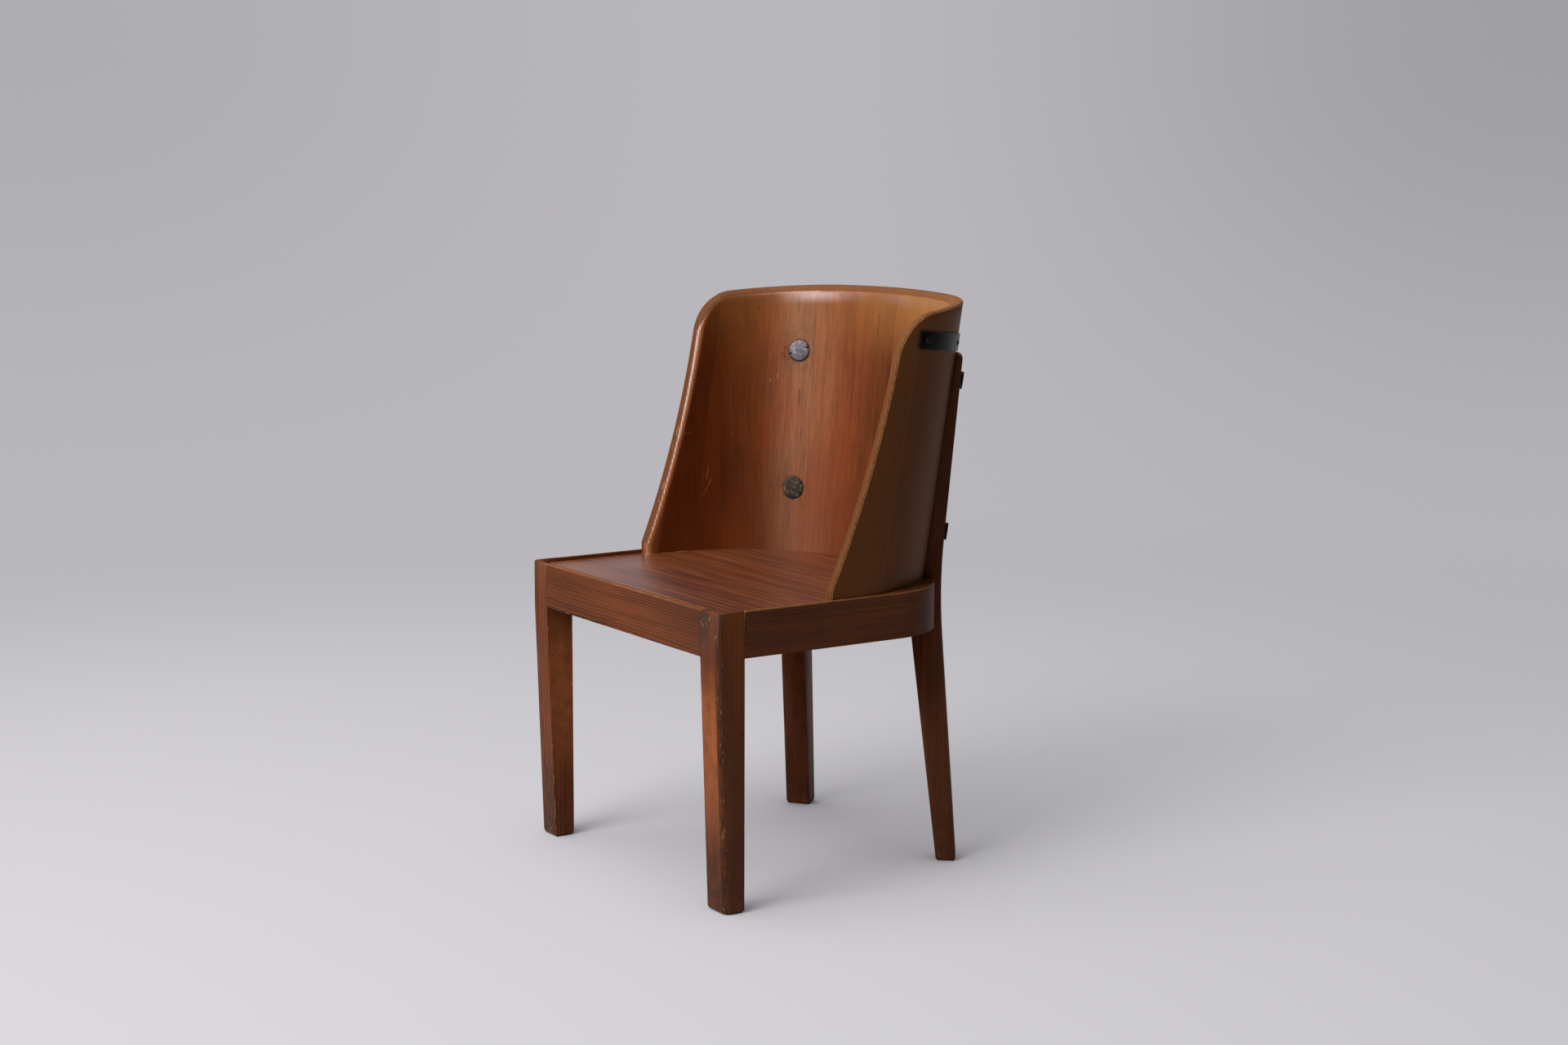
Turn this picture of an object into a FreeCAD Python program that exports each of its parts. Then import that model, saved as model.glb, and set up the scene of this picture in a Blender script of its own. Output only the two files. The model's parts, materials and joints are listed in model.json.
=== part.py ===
import FreeCAD, Part
import math
import os

os.makedirs("parts", exist_ok=True)

V = FreeCAD.Vector

# All lengths are in millimetres. The front of the chair faces -Y, +X is on a
# viewer's right and +Z is up. The pieces are built with the front face of the
# frame at y = 0, and the whole is moved along Y at the end, so that the origin
# lies on the floor under the middle of the chair.

# frame of legs and rails
frame_height = 420.0
half_width = 261.0
rail_height = 65.0
rail_thickness = 32.0
rail_corner_center = 139.0
rail_corner_setback = 62.0
rail_corner_angle = 34.0
top_edge_bevel = 1.2

# front legs
leg_width = 45.0
leg_depth = 43.0
leg_corner_radius = 10.0
leg_foot_recess = 12.0
foot_wear_bevel = 2.0

# seat board, lying in a rebate of the frame
front_lip_width = 10.0
side_lip_width = 4.5
seat_drop = 6.0
board_thickness = 18.0
board_clearance = 0.3

# back shell: each level of it is a bow of two straight sides, two corner arcs
# and one flatter rear arc between the corner angles, measured from straight
# back; it widens and leans back from foot to head. A corner arc's centre lies
# its center size from the middle plane and its start behind the frame's front
shell_thickness = 19.0
shell_rise = 414.0
shell_flare = 16.0
shell_foot_corner_center = 46.5
shell_head_corner_center = 88.5
shell_foot_corner_start = 238.0
shell_head_corner_start = 307.0
shell_corner_angle = 14.0
shell_clearance = 0.3

# side view of the back's upper edge
wing_front_lead = 51.5
wing_heel_rise = 18.0
wing_curve_end_lead = 19.0
wing_curve_end_drop = 76.0
wing_curve_bow = 9.0
wing_shoulder_radius = 75.0
wing_edge_angle = 11.5
rim_rise_angle = 5.0
outer_edge_bevel = 2.5
inner_edge_round = 11.0

# joints between the staves, as angles from straight back
center_joint_angle = 0.0
rear_joint_angle = 10.0
post_joint_angle = 28.5
side_joint_angle = 53.5
wing_joint_angle = 81.5
side_angle = 90.0

# rear posts, set like spokes round a point of the seat
post_angle = 38.35
spoke_center_lead = 39.0
post_width = 38.0
post_foot_splay = 40.1
post_foot_thickness = 28.5
post_rail_outset = 15.8
post_neck_inset = 35.5
post_bend_drop = 20.0
post_bend_rise = 64.0
post_bend_thickness = 22.0
post_top_thickness = 10.6
post_top_drop = 83.0
post_top_round = 9.0
post_edge_bevel = 1.2

# bolts through the back and the posts, set by hand at unequal heights: the
# upper ones lie below the head of the back, the lower ones above the seat
bolt_lean = 7.5
bolt_shank_diameter = 10.0
bolt_hole_clearance = 0.3
bolt_head_diameter = 33.0
bolt_head_thickness = 4.2
bolt_head_bevel = 0.8
bolt_head_sink = 2.0
bolt_notch_width = 4.0
bolt_notch_depth = 4.0
nut_diameter = 25.0
nut_thickness = 5.0
nut_bevel = 0.8
nut_sink = 1.0
right_upper_bolt_drop = 120.5
left_upper_bolt_drop = 110.0
right_lower_bolt_rise = 75.5
left_lower_bolt_rise = 94.0
upper_notch_turn = 68.0
lower_notch_turn = 62.0

# iron strap round the back, with nails
strap_front_setback = 16.5
strap_drop = 54.0
strap_fall_angle = 6.3
strap_height = 25.0
strap_thickness = 2.2
strap_clearance = 0.3
nail_head_diameter = 8.0
nail_crown_diameter = 4.0
nail_head_height = 1.8
nail_shank_diameter = 2.6
nail_length = 14.0
nail_hole_clearance = 0.3
nail_inset = 13.0
nail_corner_angle = 46.0

# how far cutting bodies reach past what they cut, and how close to a place an
# edge has to lie to be picked there
reach = 60.0
near = 0.02

board_top = frame_height - seat_drop
board_bottom = board_top - board_thickness
rail_bottom = frame_height - rail_height
shell_head = board_top + shell_rise
shell_foot_half_width = half_width - side_lip_width
rail_corner_radius = half_width - rail_corner_center
rail_corner_start = shell_foot_corner_start + rail_corner_setback
spoke_center_depth = shell_foot_corner_start - spoke_center_lead
wing_front = shell_foot_corner_start - wing_front_lead
wing_curve_end_depth = shell_head_corner_start - wing_curve_end_lead
strap_front = shell_head_corner_start + strap_front_setback


# The bow of the back. Its level lines are arcs, and the straight lines from
# foot to head along it are its rulings.


def between(foot, head, height):
    """Value at a height of a size that changes evenly up the back."""
    return foot + (head - foot) * (height - board_top) / shell_rise


def bow_at(height):
    """Half width, corner radius and corner start of the bow at a height."""
    width = between(shell_foot_half_width, shell_foot_half_width + shell_flare, height)
    radius = width - between(shell_foot_corner_center, shell_head_corner_center, height)
    start = between(shell_foot_corner_start, shell_head_corner_start, height)
    return width, radius, start


def rear_arc(width, radius, start, angle):
    """Radius and centre depth of the arc that joins two corner arcs."""
    turn = math.radians(angle)
    rear_radius = radius + (width - radius) / math.sin(turn)
    return rear_radius, start - (rear_radius - radius) * math.cos(turn)


def bow_wire(width, radius, start, angle, inset, front, height):
    """Closed bow outline at one height, moved inwards by inset."""
    rear_radius, rear_center = rear_arc(width, radius, start, angle)
    turn = math.radians(angle)
    half_turn = (turn + math.pi / 2) / 2
    small = radius - inset
    side = width - inset

    def corner(a, sign):
        x = sign * (width - radius + small * math.sin(a))
        return V(x, start + small * math.cos(a), height)

    front_right = V(side, front, height)
    front_left = V(-side, front, height)
    side_right = V(side, start, height)
    side_left = V(-side, start, height)
    apex = V(0, rear_center + rear_radius - inset, height)
    edges = [Part.makeLine(front_right, side_right)]
    edges.append(Part.Arc(side_right, corner(half_turn, 1), corner(turn, 1)).toShape())
    edges.append(Part.Arc(corner(turn, 1), apex, corner(turn, -1)).toShape())
    edges.append(Part.Arc(corner(turn, -1), corner(half_turn, -1), side_left).toShape())
    edges.append(Part.makeLine(side_left, front_left))
    edges.append(Part.makeLine(front_left, front_right))
    return Part.Wire(edges)


def rail_wire(inset, front, height):
    """Closed outline of the rails' ring, moved inwards by inset."""
    start = rail_corner_start
    return bow_wire(half_width, rail_corner_radius, start, rail_corner_angle, inset, front, height)


def shell_body(inset, low, high, front):
    """Solid filling of the back's bow between two heights."""
    wires = []
    for height in (low, high):
        width, radius, start = bow_at(height)
        wires.append(bow_wire(width, radius, start, shell_corner_angle, inset, front, height))
    return Part.makeLoft(wires, True, True)


def bow_center(angle, height):
    """Centre and radius of the arc that holds the bow's point at an angle."""
    width, radius, start = bow_at(height)
    if abs(angle) > shell_corner_angle:
        side = 1 if angle > 0 else -1
        return V(side * (width - radius), start, height), radius
    rear_radius, rear_center = rear_arc(width, radius, start, shell_corner_angle)
    return V(0, rear_center, height), rear_radius


def outward(angle):
    """Level direction out of the bow at an angle."""
    a = math.radians(angle)
    return V(math.sin(a), math.cos(a), 0)


def shell_point(angle, height, inset):
    """Point of the back's bow at an angle and a height."""
    center, radius = bow_center(angle, height)
    return center + outward(angle) * (radius - inset)


# Posts stand like spokes round a point of the seat.


def spoke_place(side, height):
    """Placement whose X runs outwards along a rear post, on one side."""
    turn = side_angle - side * post_angle
    return FreeCAD.Placement(V(0, spoke_center_depth, height), FreeCAD.Rotation(V(0, 0, 1), turn))


def along_spoke(body, height):
    """Distance along a post's spoke at which it leaves a body."""
    place = spoke_place(1, height)
    far = 2 * half_width + rail_thickness
    ray = Part.makeLine(place.multVec(V(0, 0, 0)), place.multVec(V(far, 0, 0)))
    return ray.common(body).Length


def shell_spoke(height):
    """Distance of the back's outer face along a post's spoke."""
    return along_spoke(shell_body(0, board_top, shell_head, 0), height)


def rail_spoke():
    """Distance of the rails' outer face along a post's spoke."""
    body = Part.Face(rail_wire(0, 0, rail_bottom)).extrude(V(0, 0, rail_height))
    return along_spoke(body, rail_bottom + rail_height / 2)


post_bend_height = board_top + post_bend_rise
post_top = shell_head - post_top_drop
post_bend_outer = shell_spoke(post_bend_height) + post_bend_thickness
post_top_outer = shell_spoke(post_top) + post_top_thickness
rail_outer = rail_spoke()


def post_outer_at(height):
    """Spoke distance of a post's outer face on its straight upper part."""
    share = (height - post_bend_height) / (post_top - post_bend_height)
    return post_bend_outer + (post_top_outer - post_bend_outer) * share


def post_inner_at(height):
    """Spoke distance of a post's inner face below the seat board."""
    foot = rail_outer + post_foot_splay - post_foot_thickness
    neck = rail_outer - post_neck_inset
    return foot + (neck - foot) * height / board_bottom


# Bolts, nuts, strap and nails, with the holes they need.


def rod(radius, start, end):
    """Round bar along X from start to end."""
    return Part.makeCylinder(radius, end - start, V(start, 0, 0), V(1, 0, 0))


def bolt_list(level):
    """Side, height and notch turn of the two bolts of one level."""
    if level == "upper":
        heights = {1: shell_head - right_upper_bolt_drop, -1: shell_head - left_upper_bolt_drop}
        return [(side, heights[side], upper_notch_turn) for side in (1, -1)]
    heights = {1: board_top + right_lower_bolt_rise, -1: board_top + left_lower_bolt_rise}
    return [(side, heights[side], lower_notch_turn) for side in (1, -1)]


def bolt_place(side, height):
    """Placement at the back's outer face, X outwards along a bolt."""
    tilt = FreeCAD.Rotation(V(0, 1, 0), bolt_lean)
    return spoke_place(side, height).multiply(FreeCAD.Placement(V(shell_spoke(height), 0, 0), tilt))


def nut_seat(height):
    """Distance from the back's outer face to a nut's seat."""
    return post_outer_at(height) - shell_spoke(height) - nut_sink


head_seat = bolt_head_sink - shell_thickness


def bolt_cutter(side, height):
    """Space of one bolt with its head and nut, to be cut from the wood."""
    clearance = bolt_hole_clearance
    inside = -shell_thickness - reach
    body = rod(bolt_shank_diameter / 2 + clearance, inside, reach)
    body = body.fuse(rod(bolt_head_diameter / 2 + clearance, inside, head_seat))
    body = body.fuse(rod(nut_diameter / 2 + clearance, nut_seat(height), reach))
    body.Placement = bolt_place(side, height)
    return body


def edges_on(shape, test):
    """Edges of a shape whose ends and inner points all pass a test."""
    chosen = []
    for edge in shape.Edges:
        first, last = edge.ParameterRange
        points = [edge.valueAt(first + (last - first) * share) for share in (0, 0.25, 0.5, 0.75, 1)]
        if all(test(point) for point in points):
            chosen.append(edge)
    return chosen


def bevelled_disc(diameter, start, end, rim_at, bevel):
    """Round disc along X with a bevel round one of its ends."""
    disc = rod(diameter / 2, start, end)
    rim = edges_on(disc, lambda point: abs(point.x - rim_at) < near)
    return disc.makeChamfer(bevel, rim)


def notched_head(turn):
    """Round bolt head with two opposed notches in its rim."""
    outside = head_seat - bolt_head_thickness
    head = bevelled_disc(bolt_head_diameter, outside, head_seat, outside, bolt_head_bevel)
    for half in (0, 2 * side_angle):
        size = bolt_notch_width
        start = bolt_head_diameter / 2 - bolt_notch_depth
        notch = Part.makeBox(reach, size, reach, V(outside - reach / 2, -size / 2, start))
        notch.rotate(V(0, 0, 0), V(1, 0, 0), turn + half)
        head = head.cut(notch)
    return head


def bolt(side, height, turn):
    """Bolt: notched head inside the back, shank through wood and nut."""
    end = nut_seat(height) + nut_thickness / 2
    body = notched_head(turn).fuse(rod(bolt_shank_diameter / 2, head_seat, end))
    body = body.removeSplitter()
    body.Placement = bolt_place(side, height)
    return body


def nut(side, height):
    """Round nut on the outside of a post."""
    start = nut_seat(height)
    end = start + nut_thickness
    body = bevelled_disc(nut_diameter, start, end, end, nut_bevel)
    body = body.cut(rod(bolt_shank_diameter / 2, start, start + nut_thickness / 2))
    body.Placement = bolt_place(side, height)
    return body


strap_middle = shell_head - strap_drop


def strap_slab():
    """Tilted slab that holds the strap between its edges."""
    length = 3 * half_width
    slab = Part.makeBox(2 * length, length, strap_height, V(-length, 0, -strap_height / 2))
    tilt = FreeCAD.Rotation(V(1, 0, 0), -strap_fall_angle)
    slab.Placement = FreeCAD.Placement(V(0, strap_front, strap_middle), tilt)
    return slab


def strap_height_at(depth):
    """Height of the strap's middle line at a depth."""
    return strap_middle - (depth - strap_front) * math.tan(math.radians(strap_fall_angle))


def strap():
    """Flat iron band bent round the back."""
    low = (board_top + strap_middle) / 2
    outer = shell_body(-strap_clearance - strap_thickness, low, shell_head, 0)
    inner = shell_body(-strap_clearance, low, shell_head, -reach)
    band = outer.cut(inner).common(strap_slab())
    band = band.cut(nail_cutter())
    return max(band.Solids, key=lambda item: item.Volume)


def ruling_place(angle, foot, head, point):
    """Placement at a point with X out of the back and Z along a ruling."""
    lean = math.degrees(math.atan((head - foot).dot(outward(angle)) / shell_rise))
    spin = FreeCAD.Rotation(V(0, 0, 1), side_angle - angle)
    return FreeCAD.Placement(point, spin.multiply(FreeCAD.Rotation(V(0, 1, 0), lean)))


def nail_places():
    """Placements with X pointing out of the wood at each nail."""
    places = []
    for side in (1, -1):
        depth = strap_front + nail_inset
        height = strap_height_at(depth)
        foot = V(side * shell_foot_half_width, depth, board_top)
        head = foot + V(side * shell_flare, 0, shell_rise)
        point = V(side * bow_at(height)[0], depth, height)
        places.append(ruling_place(side * side_angle, foot, head, point))
        angle = side * nail_corner_angle
        foot = shell_point(angle, board_top, 0)
        head = shell_point(angle, shell_head, 0)
        height = strap_height_at(shell_point(angle, strap_middle, 0).y)
        places.append(ruling_place(angle, foot, head, shell_point(angle, height, 0)))
    return places


def nail_cutter():
    """Holes of all nails, through the strap and into the wood."""
    radius = nail_shank_diameter / 2 + nail_hole_clearance
    depth = nail_length + nail_hole_clearance
    holes = []
    for place in nail_places():
        hole = rod(radius, -depth, reach)
        hole.Placement = place
        holes.append(hole)
    return Part.makeCompound(holes)


def nail(place):
    """Nail with a low tapered head that stands on the strap."""
    seat = strap_clearance + strap_thickness
    wide = nail_head_diameter / 2
    crown = nail_crown_diameter / 2
    head = Part.makeCone(wide, crown, nail_head_height, V(seat, 0, 0), V(1, 0, 0))
    body = head.fuse(rod(nail_shank_diameter / 2, -nail_length, seat))
    body.Placement = place
    return body


# The frame and the seat.


def seat_pocket():
    """Rebate for the seat board, with the housing of the back's foot."""
    width, radius, start = bow_at(frame_height)
    inset = -board_clearance
    wire = bow_wire(width, radius, start, shell_corner_angle, inset, front_lip_width, board_bottom)
    return Part.Face(wire).extrude(V(0, 0, reach))


def seat_board():
    """Seat board with straight front and rounded rear."""
    width, radius, start = bow_at(frame_height)
    front = front_lip_width + board_clearance
    wire = bow_wire(width, radius, start, shell_corner_angle, 0, front, board_bottom)
    return Part.Face(wire).extrude(V(0, 0, board_thickness))


def rail_ring():
    """The ring that the curved rails are cut from."""
    ring = Part.Face(rail_wire(0, 0, rail_bottom)).extrude(V(0, 0, rail_height))
    ring = ring.cut(Part.Face(rail_wire(rail_thickness, -reach, rail_bottom)).extrude(V(0, 0, rail_height)))
    return ring.cut(seat_pocket())


def post_slab(side):
    """Upright slab along a spoke, as wide as a post, over the whole height."""
    slab = Part.makeBox(2 * half_width, post_width, shell_head, V(0, -post_width / 2, 0))
    slab.Placement = spoke_place(side, 0)
    return slab


def rear_wedge():
    """Space between the two posts' spokes, seen from above."""
    points = [V(0, spoke_center_depth, 0)]
    for side in (1, -1):
        points.append(spoke_place(side, 0).multVec(V(3 * half_width, 0, 0)))
    points.append(points[0])
    return Part.Face(Part.makePolygon(points)).extrude(V(0, 0, shell_head))


def bevel_top_edge(shape):
    """Bevel the outer top edge of a piece of the frame's ring."""
    outline = rail_wire(0, 0, frame_height)

    def test(point):
        at_top = abs(point.z - frame_height) < near
        return at_top and outline.distToShape(Part.Vertex(point))[0] < near

    return shape.makeChamfer(top_edge_bevel, edges_on(shape, test))


def side_rail(side):
    """Side rail: straight at the leg, curved in to the rear post."""
    far = 2 * half_width
    box = Part.makeBox(far, far, frame_height, V(0, leg_depth, 0))
    if side < 0:
        box = box.mirror(V(0, 0, 0), V(1, 0, 0))
    rail = rail_ring().common(box).cut(post_slab(side)).cut(rear_wedge())
    return bevel_top_edge(max(rail.Solids, key=lambda item: item.Volume))


def rear_rail():
    """Curved rear rail between the posts."""
    rail = rail_ring().common(rear_wedge())
    for side in (1, -1):
        rail = rail.cut(post_slab(side))
    return bevel_top_edge(max(rail.Solids, key=lambda item: item.Volume))


def front_rail():
    """Straight front rail between the front legs."""
    length = 2 * (half_width - leg_width)
    rail = Part.makeBox(length, rail_thickness, rail_height, V(-length / 2, 0, rail_bottom))
    rail = rail.cut(seat_pocket())

    def test(point):
        return abs(point.z - frame_height) < near and abs(point.y) < near

    return rail.makeChamfer(top_edge_bevel, edges_on(rail, test))


def leg_border():
    """Line round a right leg's front and outer sides, at its top."""
    radius = leg_corner_radius
    bend = radius * (1 - math.sqrt(0.5))
    inner = V(half_width - leg_width, 0, frame_height)
    start = V(half_width - radius, 0, frame_height)
    middle = V(half_width - bend, bend, frame_height)
    end = V(half_width, radius, frame_height)
    rear = V(half_width, leg_depth, frame_height)
    edges = [Part.makeLine(inner, start), Part.Arc(start, middle, end).toShape()]
    edges.append(Part.makeLine(end, rear))
    return Part.Wire(edges)


def front_leg(side):
    """Front leg: upright beside the rail, its front face drawn in below."""
    inner = half_width - leg_width
    outline = [V(inner, 0, frame_height), V(inner, 0, rail_bottom), V(inner, leg_foot_recess, 0)]
    outline += [V(inner, leg_depth, 0), V(inner, leg_depth, frame_height), outline[0]]
    leg = Part.Face(Part.makePolygon(outline)).extrude(V(leg_width, 0, 0))

    def on_corner(point):
        return abs(point.x - half_width) < near and point.y < leg_foot_recess + near

    leg = leg.makeFillet(leg_corner_radius, edges_on(leg, on_corner))
    leg = leg.makeChamfer(foot_wear_bevel, edges_on(leg, lambda point: abs(point.z) < near))
    leg = leg.cut(seat_pocket())
    border = leg_border()

    def on_top(point):
        at_top = abs(point.z - frame_height) < near
        return at_top and border.distToShape(Part.Vertex(point))[0] < near

    leg = leg.makeChamfer(top_edge_bevel, edges_on(leg, on_top))
    if side < 0:
        leg = leg.mirror(V(0, 0, 0), V(1, 0, 0))
    return leg


def post_profile():
    """Bent outline of a rear post in the plane of its spoke."""
    low = rail_bottom - post_bend_drop
    foot_outer = rail_outer + post_foot_splay
    low_outer = rail_outer + post_rail_outset
    neck = post_inner_at(board_bottom)
    foot_out = V(foot_outer, 0, 0)
    bend_low = V(low_outer, 0, low)
    bend_high = V(post_bend_outer, 0, post_bend_height)
    top_out = V(post_top_outer, 0, post_top)
    lower_turn = math.atan((foot_outer - low_outer) / low)
    upper_turn = math.atan((post_top_outer - post_bend_outer) / (post_top - post_bend_height))
    chord = bend_high - bend_low
    sag = chord.Length * math.tan((lower_turn + upper_turn) / 4) / 2
    across = V(-chord.z, 0, chord.x).normalize()
    middle = bend_low + chord * 0.5 + across * sag
    edges = [Part.makeLine(V(post_inner_at(0), 0, 0), foot_out)]
    edges.append(Part.makeLine(foot_out, bend_low))
    edges.append(Part.Arc(bend_low, middle, bend_high).toShape())
    edges.append(Part.makeLine(bend_high, top_out))
    edges.append(Part.makeLine(top_out, V(neck, 0, post_top)))
    edges.append(Part.makeLine(V(neck, 0, post_top), V(neck, 0, board_bottom)))
    edges.append(Part.makeLine(V(neck, 0, board_bottom), V(post_inner_at(0), 0, 0)))
    return Part.Face(Part.Wire(edges))


def rear_post(side, cutters):
    """Rear post: raked leg below, leaning support outside the back above."""
    post = post_profile().extrude(V(0, post_width, 0))
    post.translate(V(0, -post_width / 2, 0))

    def crown(point):
        return abs(point.z - post_top) < near and abs(point.x - post_top_outer) < near

    def outer(point):
        on_face = abs(abs(point.y) - post_width / 2) < near
        return on_face and point.x > post_inner_at(point.z) + post_foot_thickness / 3

    def inner(point):
        on_face = abs(abs(point.y) - post_width / 2) < near
        on_line = abs(point.x - post_inner_at(point.z)) < near
        return on_face and on_line and point.z < board_bottom + near

    post = post.makeFillet(post_top_round, edges_on(post, crown))
    post = post.makeChamfer(post_edge_bevel, edges_on(post, outer) + edges_on(post, inner))
    post.Placement = spoke_place(side, 0)
    post = post.cut(seat_pocket())
    housing = stave_cone(post_joint_angle, side_joint_angle, -shell_clearance)
    housing = housing.common(above_board())
    if side < 0:
        housing = housing.mirror(V(0, 0, 0), V(1, 0, 0))
    post = post.cut(housing)
    for cutter in cutters:
        post = post.cut(cutter)
    return max(post.Solids, key=lambda item: item.Volume)


# The back: staves cut from cones, a wing's flat part from a slab, and all of
# them from the side-view outline. Rulings of one arc meet in one point, so a
# stave between two of them is a piece of a round cone; the stave that spans
# two arcs is cut from the lofted bow. The pieces are made on the right and
# mirrored to the left.


def apex(middle, inset):
    """Point where the rulings of the arc round a middle angle meet."""
    foot, foot_radius = bow_center(middle, board_top)
    head, head_radius = bow_center(middle, shell_head)
    share = (foot_radius - inset) / (foot_radius - head_radius)
    return foot + (head - foot) * share


def ruling(angle, middle, inset):
    """Direction from the apex of a middle angle's arc to its foot at an angle."""
    center, radius = bow_center(middle, board_top)
    point = center + outward(angle) * (radius - inset)
    return (point - apex(middle, inset)).normalize()


def facing(point, x_axis, z_axis):
    """Placement at a point with its Z, and as nearly as it can its X, given."""
    return FreeCAD.Placement(point, FreeCAD.Rotation(x_axis, z_axis.cross(x_axis), z_axis, "ZXY"))


def long_cone(middle, inset, axis, slope):
    """Cone from an arc's apex, over the back's height, its seam turned away."""
    point = apex(middle, inset)
    heights = (board_top, shell_head)
    distances = [axis.dot(shell_point(middle, height, inset) - point) for height in heights]
    start = min(distances) - 3 * reach
    end = max(distances) + 3 * reach
    cone = Part.makeCone(start * slope, end * slope, end - start)
    cone.Placement = facing(point + axis * start, outward(middle) * -1, axis)
    return cone


def stave_cone(first, last, inset):
    """Round cone through the rulings at two angles and midway between."""
    middle = (first + last) / 2
    one, two, three = [ruling(angle, middle, inset) for angle in (first, middle, last)]
    axis = (two - one).cross(three - one).normalize()
    if axis.dot(two) < 0:
        axis = axis * -1
    return long_cone(middle, inset, axis, math.tan(math.acos(axis.dot(two))))


wing_normal = V(shell_rise, 0, -shell_flare).normalize()


def wing_cone(inset):
    """Round cone that leaves a wing's flat face smoothly, up to its joint."""
    middle = (wing_joint_angle + side_angle) / 2
    flat = ruling(side_angle, middle, inset)
    joint = ruling(wing_joint_angle, middle, inset)
    slope = (flat.dot(joint) - 1) / wing_normal.dot(joint)
    return long_cone(middle, inset, (flat - wing_normal * slope).normalize(), slope)


def side_outline():
    """Side-view face of everything below the back's upper edge."""
    edge = math.radians(wing_edge_angle)
    rise = math.radians(rim_rise_angle)
    low = V(0, wing_front, board_top - reach)
    heel = V(0, wing_front, board_top + wing_heel_rise)
    end = V(0, wing_curve_end_depth, shell_head - wing_curve_end_drop)
    chord = end - heel
    across = V(0, chord.z, -chord.y).normalize()
    bow = heel + chord * 0.5 + across * wing_curve_bow
    radius = wing_shoulder_radius
    center = end + V(0, radius * math.cos(edge), -radius * math.sin(edge))

    def shoulder(a):
        return center + V(0, -radius * math.cos(a), radius * math.sin(a))

    last = math.pi / 2 - rise
    rear = shoulder(last) + V(0, math.cos(rise), math.sin(rise)) * shell_head
    edges = [Part.makeLine(low, heel)]
    edges.append(Part.Arc(heel, bow, end).toShape())
    edges.append(Part.Arc(end, shoulder((edge + last) / 2), shoulder(last)).toShape())
    edges.append(Part.makeLine(shoulder(last), rear))
    edges.append(Part.makeLine(rear, V(0, rear.y, low.z)))
    edges.append(Part.makeLine(V(0, rear.y, low.z), low))
    return Part.Face(Part.Wire(edges))


def above_board():
    """Space above the seat board."""
    size = 4 * half_width
    return Part.makeBox(size, size, shell_rise + reach, V(-2 * half_width, 0, board_top))


def past_joint(angle, sign):
    """Space on one side of the joint plane at an angle, 1 for larger angles."""
    foot = shell_point(angle, board_top, 0)
    head = shell_point(angle, shell_head, 0)
    normal = outward(angle).cross(head - foot).normalize() * sign
    size = 4 * half_width
    space = Part.makeBox(size, size, size, V(-size / 2, -size / 2, 0))
    space.Placement = facing(foot, outward(angle), normal)
    return space


def stave_ring(outer, inner, blank, first, last):
    """What the joints at two angles leave of the ring between two cones."""
    ring = outer.cut(inner).common(above_board()).common(blank)
    ring = ring.cut(past_joint(first, -1)).cut(past_joint(last, 1))
    return max(ring.Solids, key=lambda item: item.Volume)


def stave_skins(first, last):
    """Solids whose surfaces hold a stave's outer and inner faces."""
    if first < shell_corner_angle < last:
        outer = shell_body(0, board_top, shell_head, 0)
        return outer, shell_body(shell_thickness, board_top, shell_head, -reach)
    return stave_cone(first, last, 0), stave_cone(first, last, shell_thickness)


def finish_border(piece, border, outer_skins, inner_skins):
    """Bevel the outer arris and round the inner one along the upper border."""

    def meeting(skins):
        def on_both(point):
            spot = Part.Vertex(point)
            if border.distToShape(spot)[0] > near:
                return False
            return any(skin.distToShape(spot)[0] < near for skin in skins)

        return on_both

    piece = piece.makeChamfer(outer_edge_bevel, edges_on(piece, meeting(outer_skins)))
    return piece.makeFillet(inner_edge_round, edges_on(piece, meeting(inner_skins)))


def stave(first, last):
    """One stave of the curved part of the back."""
    blank = side_outline().extrude(V(2 * half_width, 0, 0))
    blank.translate(V(-reach, 0, 0))
    outer, inner = stave_skins(first, last)
    piece = stave_ring(outer, inner, blank, first, last)
    return finish_border(piece, blank.Shells[0], outer.Shells, inner.Shells)


def wing():
    """A wing: a flat leaning board that turns into the curve at its joint."""
    lean = math.degrees(math.atan(shell_flare / shell_rise))
    thickness = shell_thickness * math.cos(math.radians(lean))
    outline = side_outline()
    outline.rotate(V(0, 0, board_top), V(0, 1, 0), lean)
    outline.translate(V(shell_foot_half_width - shell_thickness / 2, 0, 0))
    slab = outline.translated(wing_normal * (-thickness / 2)).extrude(wing_normal * thickness)
    blank = outline.translated(wing_normal * -reach).extrude(wing_normal * (2 * reach))
    outer = wing_cone(0)
    inner = wing_cone(shell_thickness)
    flat = slab.common(above_board()).cut(past_joint(side_angle, -1))
    curved = stave_ring(outer, inner, blank, wing_joint_angle, side_angle)
    piece = flat.fuse(curved).removeSplitter().Solids[0]
    sides = [face for face in slab.Faces if abs(face.normalAt(0, 0).dot(wing_normal)) > 1 - near]
    sides.sort(key=lambda face: face.CenterOfMass.x)
    outer_skins = outer.Shells + [sides[1]]
    inner_skins = inner.Shells + [sides[0]]
    return finish_border(piece, blank.Shells[0], outer_skins, inner_skins)


def staves(cutters):
    """The back's staves by name, with the holes of the bolts and nails."""
    made = {
        "wing": wing(),
        "side": stave(side_joint_angle, wing_joint_angle),
        "post": stave(post_joint_angle, side_joint_angle),
        "rear": stave(rear_joint_angle, post_joint_angle),
        "center": stave(center_joint_angle, rear_joint_angle),
    }
    pieces = {}
    for name, right in made.items():
        for word in ("left", "right"):
            piece = right if word == "right" else right.mirror(V(0, 0, 0), V(1, 0, 0))
            for cutter in cutters:
                piece = piece.cut(cutter)
            pieces["stave_" + word + "_" + name] = max(piece.Solids, key=lambda item: item.Volume)
    return pieces


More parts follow.
